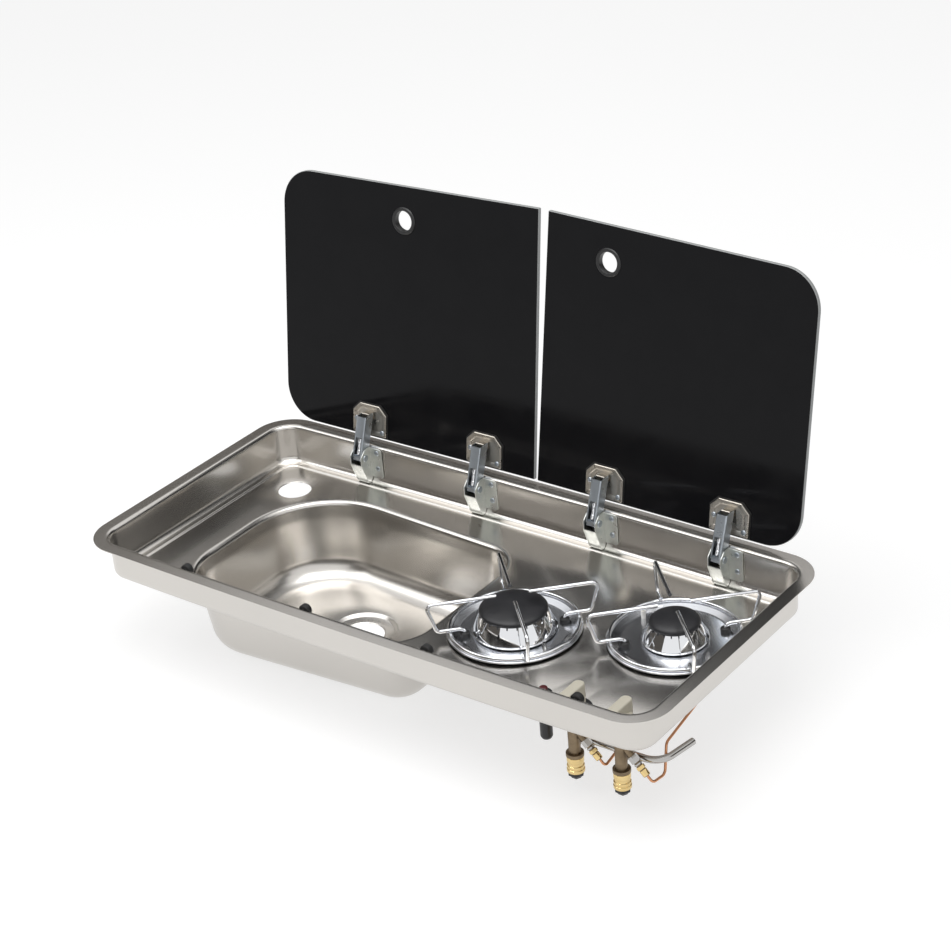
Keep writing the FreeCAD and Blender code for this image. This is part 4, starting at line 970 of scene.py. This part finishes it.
housings = []
rivetSpots = []
rivetAims = []
screwOffsets = ((-hinge["screwX"], hinge["screwHigh"]), (hinge["screwX"], hinge["screwLow"]))
rivetX = hinge["inner"] / 2 + hinge["cheek"] / 2 + hinge["rivetAcross"]
for side in sides:
    fold = foldRatio[f"hinge_arms_{side}_fold"] * jointNamed[f"lid_{side}_close"]["range_deg"][1]
    made = {name: [] for name in ("plates", "arms", "barrels", "pins")}
    screwSpots = []
    screwAims = []
    for place, pinY, pinZ in hingeFrames(side):
        opened = inMetres(openLid(side) @ place)
        fixed = inMetres(place)
        pivot = fixed @ at(0, pinY, pinZ)
        folded = pivot @ turned(180 - fold, "X")
        made["plates"].append(moved(hingePlate(), opened))
        made["arms"].append(moved(hingeArm(), folded))
        made["barrels"].append(moved(hingeBarrel(), folded))
        made["pins"].append(moved(hingePin(), pivot))
        housings.append(moved(hingeHousing(), fixed))
        for x, y in screwOffsets:
            screwSpots.append(opened @ Vector((x, hinge["plateBack"] - y, hinge["plateLow"])) * mm)
            screwAims.append(opened.to_3x3() @ -up)
        for i in range(hinge["rivets"]):
            rivetZ = hinge["rivetTop"] - hinge["rivetStep"] * i
            rivetSpots.append(fixed @ Vector((rivetX, hinge["wall"] - hinge["cheek"], rivetZ)) * mm)
            rivetAims.append(fixed.to_3x3() @ Vector((0, -1, 0)))
    lidBody, armBody = f"lid_{side}", f"hinge_arms_{side}"
    for name, body, slotName, materials, sharp in (
            ("plates", lidBody, "hinge_plate", [nickel, nickel], 25),
            ("arms", armBody, "zinc", [zinc], 25),
            ("barrels", armBody, "chrome", [chrome], sharpAngle),
            ("pins", "base", "zinc", [zinc], sharpAngle)):
        piece(f"{name}.{side}", meshFrom(name, merged(*made[name])), body,
              [f"hinge_{name}_{side}"], materials, sharp)
    screws = grow("screws", domedHeads, screwSpots, [], {
        "Radius": hinge["screwR"] * mm, "Height": hinge["screwHead"] * mm, "Material": zinc}, screwAims)
    piece(f"screws.{side}", screws, lidBody, [f"hinge_screws_{side}"], [zinc])
piece("housings", meshFrom("housings", merged(*housings)), "base",
      ["hinge_housings"], [brightSteel, brightSteel], sharp=25)
rivets = grow("rivets", domedHeads, rivetSpots, [], {
    "Radius": hinge["rivetR"] * mm, "Height": hinge["rivetHead"] * mm, "Material": zinc}, rivetAims)
piece("rivets", rivets, "base", ["hinge_rivets"], [zinc])
print("hinges made")


# Rubber bumpers in the front wall

bumper = {"radius": 6.8, "long": 9, "dome": 3.2, "domeSteps": 12, "neck": 3, "tail": 3, "ease": 0.6}


def lidBumper():
    radius, neck, tail, ease = bumper["radius"], bumper["neck"], bumper["tail"], bumper["ease"]
    brow = bumper["long"] - bumper["dome"]
    profile = [(0, -tail), (neck, -tail), (neck, 0), (radius - ease, 0), (radius, ease)]
    for turn in quarterTurns(bumper["domeSteps"]):
        profile.append((radius * math.cos(turn), brow + bumper["dome"] * math.sin(turn)))
    return lathe(profile, 48)


stops = []
for low, high in solidBoxes("lid_bumpers"):
    spot = (low + high) / 2 / mm
    stops.append(moved(lidBumper(), at(spot.x, high.y / mm - bumper["long"], spot.z) @ turned(-90, "X")))
piece("bumpers", meshFrom("bumpers", merged(*stops)), "base", ["lid_bumpers"], [rubber])
print("bumpers made")


# Burners; rounded edges are (out, up, radius) from the sharp corner

pan = {
    "radius": 75, "slope": 68, "slopeDrop": 0.4, "slopeRound": 4, "flat": 60, "flatRound": 8,
    "hole": 27.5, "high": 4.6, "sheet": 1, "under": 0.1, "footOut": 1, "footRound": 3,
    "roll": ((-3.4, 0, 2), (-0.9, 0, 1.2), (0, -1.4, 0.7), (-0.8, -2.1, 0.5), (-5.5, -1.6, 1)),
}
burner = {
    "seat": floorTop + 3, "neck": 18.2, "headDrop": 0.1,
    "footEdge": ((-1.6, -0.6, 0.6), (-0.3, -0.2, 0.5), (0, 0.8, 0.4),
                 (-0.9, 1.3, 0.2), (-1.0, 1.9, 0.2), (-0.3, 2.2, 0.3)),
    "headEdge": ((-1.2, -0.6, 0.4), (-3, -0.1, 0.4)),
    "slots": 22, "slotSize": (3.0, 1.3, 3.6), "slotDrop": 2.0, "slotIn": 2.2,
    "capEdge": 2.2, "capDome": 7.8, "capFull": 0.9, "capSteps": 24, "capFoot": ((-0.7, 0), (-0.1, 0.5)),
    "left": {"skirt": 47, "cap": 38, "crown": floorTop + 24.5},
    "right": {"skirt": 37, "cap": 28, "crown": floorTop + 21},
}
support = {
    "wire": 2.2, "ring": 71, "ringHigh": floorTop + 6.6, "low": floorTop + 10.7, "top": -5,
    "reach": 95.5, "inner": 18, "lowReach": 85, "bend": 6, "tail": 3, "plug": 55,
    "angles": (45, 135, 225, 315), "plugAngles": (45, 225), "sides": 20, "ringSteps": 128,
}
grommet = {
    "radius": 5.5, "high": 5.6, "neck": 2.6, "seat": 0.9, "footRound": 0.3,
    "brow": 1, "browRound": 1.6, "mouth": 0.6, "mouthRound": 0.5,
}


def dripPan():
    low, flat, top = (floorTop + pan[level] for level in ("under", "sheet", "high"))
    profile = [
        (pan["hole"], low), (pan["hole"], flat), (pan["flat"], flat, pan["flatRound"]),
        (pan["slope"], top - pan["slopeDrop"], pan["slopeRound"])]
    profile += eased(pan["radius"], top, pan["roll"])
    profile.append((pan["flat"] + pan["footOut"], low, pan["footRound"]))
    return ringLathe(softened(profile, steps=6), 160)


def skirtForm(size):
    profile = [(burner["neck"], burner["seat"])]
    profile += eased(size["skirt"], burner["seat"], burner["footEdge"])
    profile += eased(size["cap"], size["crown"], burner["headEdge"])
    profile.append((burner["neck"], size["crown"] - burner["headDrop"]))
    return ringLathe(softened(profile, steps=5), 144)


def capForm(size):
    radius, crown = size["cap"], size["crown"]
    brow = crown + burner["capEdge"]
    profile = [(0, crown)] + eased(radius, crown, burner["capFoot"])
    for turn in quarterTurns(burner["capSteps"]):
        far = radius * math.cos(turn) ** burner["capFull"]
        profile.append((far, brow + burner["capDome"] * math.sin(turn)))
    return lathe(profile, 128)


def supportPaths(x, y):
    # Each arm runs in at the top, folds back under itself and ends at the ring or in a grommet.
    paths = []
    for angle in support["angles"]:
        run = [(support["inner"], support["top"]), (support["reach"], support["top"]),
               (support["lowReach"], support["low"])]
        if angle in support["plugAngles"]:
            run += [(support["plug"], support["low"]), (support["plug"], floorTop + pan["sheet"])]
        else:
            run.append((support["ring"] - support["tail"], support["low"]))
        way = Vector((math.cos(math.radians(angle)), math.sin(math.radians(angle)), 0))
        corners = [Vector((x, y, z)) + way * far for far, z in run]
        paths.append([point * mm for point in bent(corners, support["bend"])])
    return paths


def panSupport(x, y):
    verts, edges = chain(supportPaths(x, y))
    start, count = len(verts), support["ringSteps"]
    for point in circlePoints(x, y, support["ring"], count):
        verts.append(Vector((*point, support["ringHigh"])) * mm)
    edges += [(start + i, start + (i + 1) % count) for i in range(count)]
    return grow("support", roundWire, verts, edges, {
        "Radius": support["wire"] * mm, "Sides": support["sides"], "Material": chrome})


def grommetForm():
    radius, neck, low = grommet["radius"], grommet["neck"], floorTop + grommet["seat"]
    top = low + grommet["high"]
    return ringLathe(softened([
        (neck, low), (radius, low, grommet["footRound"]),
        (radius, top - grommet["brow"], grommet["browRound"]),
        (neck + grommet["mouth"], top, grommet["mouthRound"]), (neck, top)], steps=6), 48)


for side in sides:
    size = burner[side]
    x, y = placeOf(f"burner_cup_{side}")
    here = at(x, y)
    piece(f"dripPan.{side}", meshFrom("dripPan", moved(dripPan(), here)), "base",
          [f"burner_pan_{side}"], [panSteel])
    piece(f"skirt.{side}", meshFrom("skirt", moved(skirtForm(size), here)), "base",
          [f"burner_skirt_{side}"], [chrome])
    # Dark blocks just under each cap fill the flame slots: painted shade of the slot openings, drawn in the caps'
    # black enamel.
    drop = burner["slotDrop"]
    slope = (size["skirt"] - size["cap"]) / (size["crown"] - burner["seat"])
    slotShadeMesh = grow("slots", slotRing, [(0, 0, 0)], [], {
        "Count": burner["slots"], "Ring Radius": (size["cap"] + slope * drop - burner["slotIn"]) * mm,
        "Slot Size": [part * mm for part in burner["slotSize"]],
        "Middle": [x * mm, y * mm, (size["crown"] - drop) * mm], "Material": enamelAndSlotShade})
    piece(f"slots.{side}", slotShadeMesh, "base", [], [enamelAndSlotShade])
    piece(f"cap.{side}", meshFrom("cap", moved(capForm(size), here)), f"cap_{side}",
          [f"burner_cap_{side}"], [enamelAndSlotShade])
    piece(f"support.{side}", panSupport(x, y), f"support_{side}",
          [f"pan_support_{side}"], [chrome])
    plugs = []
    for angle in support["plugAngles"]:
        plugX = x + support["plug"] * math.cos(math.radians(angle))
        plugY = y + support["plug"] * math.sin(math.radians(angle))
        plugs.append(moved(grommetForm(), at(plugX, plugY)))
    piece(f"grommets.{side}", meshFrom("grommets", merged(*plugs)), "base",
          [f"pan_grommets_{side}"], [rubber])
print("burners made")


# Controls: lever knobs, bezels, igniter and the taps below

knob = {
    "wide": 13, "long": 40, "low": floorTop + 6.2, "top": -27, "tail": 4, "end": 6.2,
    "foot": ((0, 0.3), (0.5, -0.6), (6, -0.3)),  # (up, inset) from the lever's foot and its top
    "crest": ((-2, 0), (-0.7, 0.35), (-0.15, 1), (0, 1.8)),
    "base": 14.5, "baseRound": 0.6, "baseTop": floorTop + 11.2, "shoulder": 1, "shoulderRound": 1.5,
    "neck": ((2, 1, 2), (0, 3.5)), "neckHigh": 3.5,
}
bezel = {
    "radius": 22, "hole": 6.5, "thick": 1.2, "dish": 0.3,
    "foot": ((0, 0), (0, 0.4, 0.2)), "brow": ((-1.4, 0, 0.5), (-4, 0, 0.3), (-4.5, -0.3, 0.2)),
}
tap = {
    "under": -108, "nutLow": -128, "nutR": 9.7, "nutTop": ((-0.4, -1, 0.5), (-1.6, 0)),
    "grooves": ((-1, 0, 0.4), (0, 1, 0.4), (0, 4.2, 0.4), (-0.9, 4.8, 0.3), (-0.9, 5.6, 0.3),
                (-0.3, 6.2, 0.4), (-0.3, 8.6, 0.4), (-1.5, 9.4, 0.3), (-1.5, 12.4, 0.3), (-0.4, 13.2, 0.4)),
    "capLow": -136, "capR": 9, "capTip": 5.5,
    "capNose": ((-0.7, 0), (0, 0.7), (1, 2.4)), "capBrow": ((0, -3.4), (0, -0.6), (-0.8, 0)),
    "valveR": 6.5, "ringIn": 0.3, "ringLow": 0.2, "ringHigh": 4,
}
fitting = {
    "drop": -71, "tilt": 45.5, "radius": 3.6, "sunk": 0.4,
    "nut": ((19, 27, 5.4, 6), (28.5, 30.5, 4.4, 32)),  # collars are (start, end, radius, sides)
    "tip": ((32, 36, 4.8, 6), (37, 44, 4.1, 32)),
}
igniter = {
    "radius": 6.8, "low": -105, "under": -51,
    "nose": ((-1.6, 0, 0.8), (0, 3, 1.5)), "collar": ((0, -9, 0.2), (1.4, -8.6, 0.4), (1.4, 0, 0.4)),
    "nut": 9, "nutTop": -48, "nutBrow": ((0, 0, 0.8), (-2.4, 0, 0.5), (-2.8, 0.4, 0.3)),
    "play": 0.15, "nutLip": ((0, 0.4, 0.3),),
    "button": 4.6, "buttonTop": -42, "buttonRound": 1.4, "buttonFoot": 8, "crown": 0.35,
}


def leverKnob():
    half, reach, tail, end = knob["wide"] / 2, knob["long"] / 2, knob["tail"], knob["end"]
    outline = softened([
        (-half, -reach, tail), (half, -reach, tail), (half, reach, end), (-half, reach, end)], steps=10)
    low, top, brow = knob["low"], knob["top"], knob["baseTop"]
    levels = [(low + rise, inset) for rise, inset in knob["foot"]]
    levels += [(top + rise, inset) for rise, inset in knob["crest"]]
    profile = [
        (0, low), (knob["base"], low, knob["baseRound"]),
        (knob["base"], brow - knob["shoulder"], knob["shoulderRound"])]
    profile += eased(half, brow, knob["neck"])
    profile.append((0, brow + knob["neckHigh"]))
    return merged(stacked(outline, levels), lathe(softened(profile, closed=False, steps=5), 72))


def bezelForm():
    radius, top = bezel["radius"], floorTop + bezel["thick"]
    profile = [(bezel["hole"], floorTop)]
    profile += eased(radius, floorTop, bezel["foot"])
    profile += eased(radius, top, bezel["brow"])
    profile.append((bezel["hole"], top - bezel["dish"]))
    return ringLathe(softened(profile, steps=3), 96)


def tapNut():
    low, high, radius = tap["nutLow"], tap["under"], tap["nutR"]
    profile = [(0, low)] + eased(radius, low, tap["grooves"])
    profile += eased(radius, high, tap["nutTop"]) + [(0, high)]
    return lathe(softened(profile, closed=False, steps=4), 72)


def tapCap():
    low, high = tap["capLow"], tap["nutLow"]
    profile = [(0, low)] + eased(tap["capTip"], low, tap["capNose"])
    profile += eased(tap["capR"], high, tap["capBrow"]) + [(0, high)]
    return lathe(profile, 6)


def collar(low, high, inner, outer, sideCount, edge=0.4):
    corners = [(inner, low), (outer, low, edge), (outer, high, edge), (inner, high)]
    return ringLathe(softened(corners, steps=3), sideCount)


def tapCollar():
    low, high = tap["under"] - tap["ringLow"], tap["under"] + tap["ringHigh"]
    return collar(low, high, tap["valveR"] - tap["ringIn"], tap["nutR"], 72)


def fittingCollars(rows):
    inner = fitting["radius"] - fitting["sunk"]
    return merged(*[collar(low, high, inner, outer, sideCount) for low, high, outer, sideCount in rows])


for side in sides:
    x, y = placeOf(f"valve_stem_{side}")
    here = at(x, y)
    aim = at(x, y, fitting["drop"]) @ turned(90 + fitting["tilt"], "Y")
    piece(f"lever.{side}", meshFrom("lever", moved(leverKnob(), here)), f"knob_{side}",
          [f"knob_{side}"], [beige, beige], sharp=40)
    piece(f"bezel.{side}", meshFrom("bezel", moved(bezelForm(), here)), "base",
          [f"knob_bezel_{side}"], [blackPlastic])
    piece(f"tapNut.{side}", meshFrom("tapNut", moved(tapNut(), here)), "base",
          [f"valve_nut_{side}"], [brass])
    piece(f"tapCap.{side}", meshFrom("tapCap", moved(tapCap(), here)), "base",
          [f"valve_cap_{side}"], [blackPlastic], sharp=15)
    piece(f"fittingNut.{side}", meshFrom("fittingNut", moved(fittingCollars(fitting["nut"]), aim)), "base",
          [], [pipeSteel])
    piece(f"fittingTip.{side}", meshFrom("fittingTip", moved(fittingCollars(fitting["tip"]), aim)), "base",
          [], [brass])
    piece(f"tapCollar.{side}", meshFrom("tapCollar", moved(tapCollar(), here)), "base",
          [], [bronze])


def igniterBody():
    low, top, radius = igniter["low"], igniter["under"], igniter["radius"]
    profile = [(0, low)] + eased(radius, low, igniter["nose"])
    profile += eased(radius, top, igniter["collar"]) + [(0, top)]
    return lathe(softened(profile, closed=False, steps=5), 64)


def igniterNut():
    top, radius, hole = igniter["nutTop"], igniter["nut"], igniter["button"] + igniter["play"]
    profile = [(hole, floorTop), (radius, floorTop)]
    profile += eased(radius, top, igniter["nutBrow"])
    profile += eased(hole, top, igniter["nutLip"])
    return ringLathe(softened(profile, steps=4), 64)


def igniterButton():
    top, radius, low = igniter["buttonTop"], igniter["button"], floorTop - igniter["buttonFoot"]
    profile = [(0, low), (radius, low), (radius, top, igniter["buttonRound"]), (0, top + igniter["crown"])]
    return lathe(softened(profile, closed=False, steps=6), 48)


here = at(*placeOf("igniter_body"))
piece("igniterBody", meshFrom("igniterBody", moved(igniterBody(), here)), "base",
      ["igniter_body"], [blackPlastic])
piece("igniterNut", meshFrom("igniterNut", moved(igniterNut(), here)), "base",
      ["igniter_nut"], [blackPlastic])
piece("igniterButton", meshFrom("igniterButton", moved(igniterButton(), here)), "button",
      ["igniter_button"], [redPlastic])


# Gas inlet, a bent tube with an open end

inlet = {
    "radius": 4, "bore": 2.9, "lipRound": 0.3, "bend": 22, "bendIn": 36, "endIn": 8.5, "back": 51,
    "openEnd": 9, "sides": 32,
}


def inletTube():
    low, high = (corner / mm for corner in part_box("gas_inlet_pipe"))
    z = (low.z + high.z) / 2
    y = low.y + inlet["radius"]
    corner = Vector((trayHigh.x - inlet["bendIn"], y, z))
    end = Vector((trayHigh.x - tray["rim"] - inlet["endIn"], y + inlet["back"], z))
    way = (end - corner).normalized()
    short = end - way * inlet["openEnd"]
    line = bent([(low.x, y, z), corner, short], inlet["bend"], steps=16)
    verts, edges = chain([[point * mm for point in line]])
    solid = grow("inlet", roundWire, verts, edges, {
        "Radius": inlet["radius"] * mm, "Sides": inlet["sides"], "Material": pipeSteel})
    bore, radius, length, soft = inlet["bore"], inlet["radius"], inlet["openEnd"], inlet["lipRound"]
    lip = ringLathe(softened([
        (bore, 0), (radius, 0), (radius, length, soft), (bore, length, soft)], steps=3), inlet["sides"])
    lip.transform(Matrix.Translation(short) @ way.to_track_quat("Z", "Y").to_matrix().to_4x4())
    lip.transform(Matrix.Scale(mm, 4))
    tube = bmesh.new()
    tube.from_mesh(solid)
    both = merged(tube, lip)
    bmesh.ops.recalc_face_normals(both, faces=both.faces)
    both.to_mesh(solid)
    both.free()
    return solid


piece("inletTube", inletTube(), "base", ["gas_inlet_pipe"], [pipeSteel])
print("controls made")


# CAD pieces that stay, with their finishes

def keepCad(node, material):
    thing = cad[node]
    thing.data.materials.clear()
    thing.data.materials.append(material)
    thing.data.shade_smooth()
    weld = thing.modifiers.new("weld", "WELD")
    weld.merge_threshold = mergeGap * mm
    split = thing.modifiers.new("split", "EDGE_SPLIT")
    split.split_angle = math.radians(sharpAngle)


for side in sides:
    for node, material in (
            ("hinge_pads", rubber), ("burner_cup", aluminium), ("burner_jet", brass), ("valve_stem", brass),
            ("gas_valve", bronze), ("feed_pipe", copper), ("spark_electrode", porcelain),
            ("thermocouple", pipeSteel)):
        keepCad(f"{node}_{side}", material)
keepCad("thermocouple_leads", copper)
keepCad("spark_leads", sheath)
print("CAD pieces finished")


# Light, floor and background

studio = {
    "floorDrop": 0.6, "floorHalf": 6, "floorTone": 0.8, "shownTone": 0.45, "shownGlow": 0.66,
    "skyShown": 1, "skyLight": 0.5,
    "band": (0.20, 1.44, 0.8), "bandFar": 2.4, "bandSteps": 48, "bandTone": (0.10, 0.09, 0.08),
    "bandRaised": (-0.6, -0.8), "bandOpened": (0.64, -0.77), "bandGap": 0.6,
}
lamps = {
    "overhead": {"place": (0.2, -0.3, 2.0), "size": (1.8, 1.2), "power": 22},
    "sideFill": {"place": (-1.3, -0.85, 1.75), "size": (1.2, 1.2), "power": 9},
}


def shownRays(tree):
    # One for rays that show the background: straight from the camera, mirrored or let through.
    rays = tree.nodes.new("ShaderNodeLightPath")
    direct = tree.nodes.new("ShaderNodeMath")
    direct.operation = "MAXIMUM"
    shown = tree.nodes.new("ShaderNodeMath")
    shown.operation = "MAXIMUM"
    tree.links.new(rays.outputs["Is Camera Ray"], direct.inputs[0])
    tree.links.new(rays.outputs["Is Glossy Ray"], direct.inputs[1])
    tree.links.new(direct.outputs["Value"], shown.inputs[0])
    tree.links.new(rays.outputs["Is Transmission Ray"], shown.inputs[1])
    return shown.outputs["Value"]


def addFloor():
    mesh = bpy.data.meshes.new("floor")
    half = studio["floorHalf"]
    z = cadBounds[0][2] - studio["floorDrop"] * mm
    corners = [(-half, -half, z), (half, -half, z), (half, half, z), (-half, half, z)]
    mesh.from_pydata(corners, [], [(0, 1, 2, 3)])
    floor = bpy.data.objects.new("floor", mesh)
    bpy.context.scene.collection.objects.link(floor)
    material = bpy.data.materials.new("floor")
    material.use_nodes = True
    tree = material.node_tree
    tree.nodes.clear()
    output = tree.nodes.new("ShaderNodeOutputMaterial")
    plain = tree.nodes.new("ShaderNodeBsdfDiffuse")
    plain.inputs["Color"].default_value = (*[studio["floorTone"]] * 3, 1)
    shaded = tree.nodes.new("ShaderNodeBsdfDiffuse")
    shaded.inputs["Color"].default_value = (*[studio["shownTone"]] * 3, 1)
    glow = tree.nodes.new("ShaderNodeEmission")
    glow.inputs["Strength"].default_value = studio["shownGlow"]
    both = tree.nodes.new("ShaderNodeAddShader")
    choice = tree.nodes.new("ShaderNodeMixShader")
    tree.links.new(shaded.outputs["BSDF"], both.inputs[0])
    tree.links.new(glow.outputs["Emission"], both.inputs[1])
    tree.links.new(shownRays(tree), choice.inputs["Fac"])
    tree.links.new(plain.outputs["BSDF"], choice.inputs[1])
    tree.links.new(both.outputs["Shader"], choice.inputs[2])
    tree.links.new(choice.outputs["Shader"], output.inputs["Surface"])
    mesh.materials.append(material)


def addWorld():
    world = bpy.data.worlds.new("studio")
    bpy.context.scene.world = world
    world.use_nodes = True
    tree = world.node_tree
    tree.nodes.clear()
    output = tree.nodes.new("ShaderNodeOutputWorld")
    seen = tree.nodes.new("ShaderNodeBackground")
    seen.inputs["Strength"].default_value = studio["skyShown"]
    light = tree.nodes.new("ShaderNodeBackground")
    light.inputs["Strength"].default_value = studio["skyLight"]
    choice = tree.nodes.new("ShaderNodeMixShader")
    for node in (seen, light):
        node.inputs["Color"].default_value = (1, 1, 1, 1)
    tree.links.new(shownRays(tree), choice.inputs["Fac"])
    tree.links.new(light.outputs["Background"], choice.inputs[1])
    tree.links.new(seen.outputs["Background"], choice.inputs[2])
    tree.links.new(choice.outputs["Shader"], output.inputs["Surface"])


def addLamp(name, place, size, power):
    # An area lamp that faces the frame's origin.
    lamp = bpy.data.lights.new(name, "AREA")
    lamp.shape = "RECTANGLE"
    lamp.size, lamp.size_y = size
    lamp.energy = power
    thing = bpy.data.objects.new(name, lamp)
    facing = (-Vector(place)).to_track_quat("-Z", "Y")
    thing.matrix_world = Matrix.Translation(place) @ facing.to_matrix().to_4x4()
    bpy.context.scene.collection.objects.link(thing)


def addBand():
    # The dim room round the studio, only for the metal to mirror.
    count, far = studio["bandSteps"], studio["bandFar"]
    ring = [Vector((math.cos(turn), math.sin(turn))) * far
            for turn in (2 * math.pi * i / count for i in range(count))]
    low, high, rise = studio["band"]
    verts = [(*spot, low) for spot in ring]
    raised, opened = Vector(studio["bandRaised"]), Vector(studio["bandOpened"])
    verts += [(*spot, high + rise * max(raised.dot(spot) / far, 0)) for spot in ring]
    faces = [(i, (i + 1) % count, count + (i + 1) % count, count + i) for i in range(count)
             if opened.dot(ring[i]) < studio["bandGap"] * far]
    mesh = bpy.data.meshes.new("band")
    mesh.from_pydata(verts, [], faces)
    material = bpy.data.materials.new("band")
    material.use_nodes = True
    tree = material.node_tree
    tree.nodes.clear()
    glow = tree.nodes.new("ShaderNodeEmission")
    glow.inputs["Color"].default_value = (*studio["bandTone"], 1)
    output = tree.nodes.new("ShaderNodeOutputMaterial")
    tree.links.new(glow.outputs["Emission"], output.inputs["Surface"])
    mesh.materials.append(material)
    band = bpy.data.objects.new("band", mesh)
    band.visible_camera = False
    band.visible_diffuse = False
    band.visible_shadow = False
    bpy.context.scene.collection.objects.link(band)


addFloor()
addWorld()
addBand()
for name, lamp in lamps.items():
    addLamp(name, lamp["place"], lamp["size"], lamp["power"])
bpy.context.scene.view_settings.view_transform = "Standard"
print("stage set")
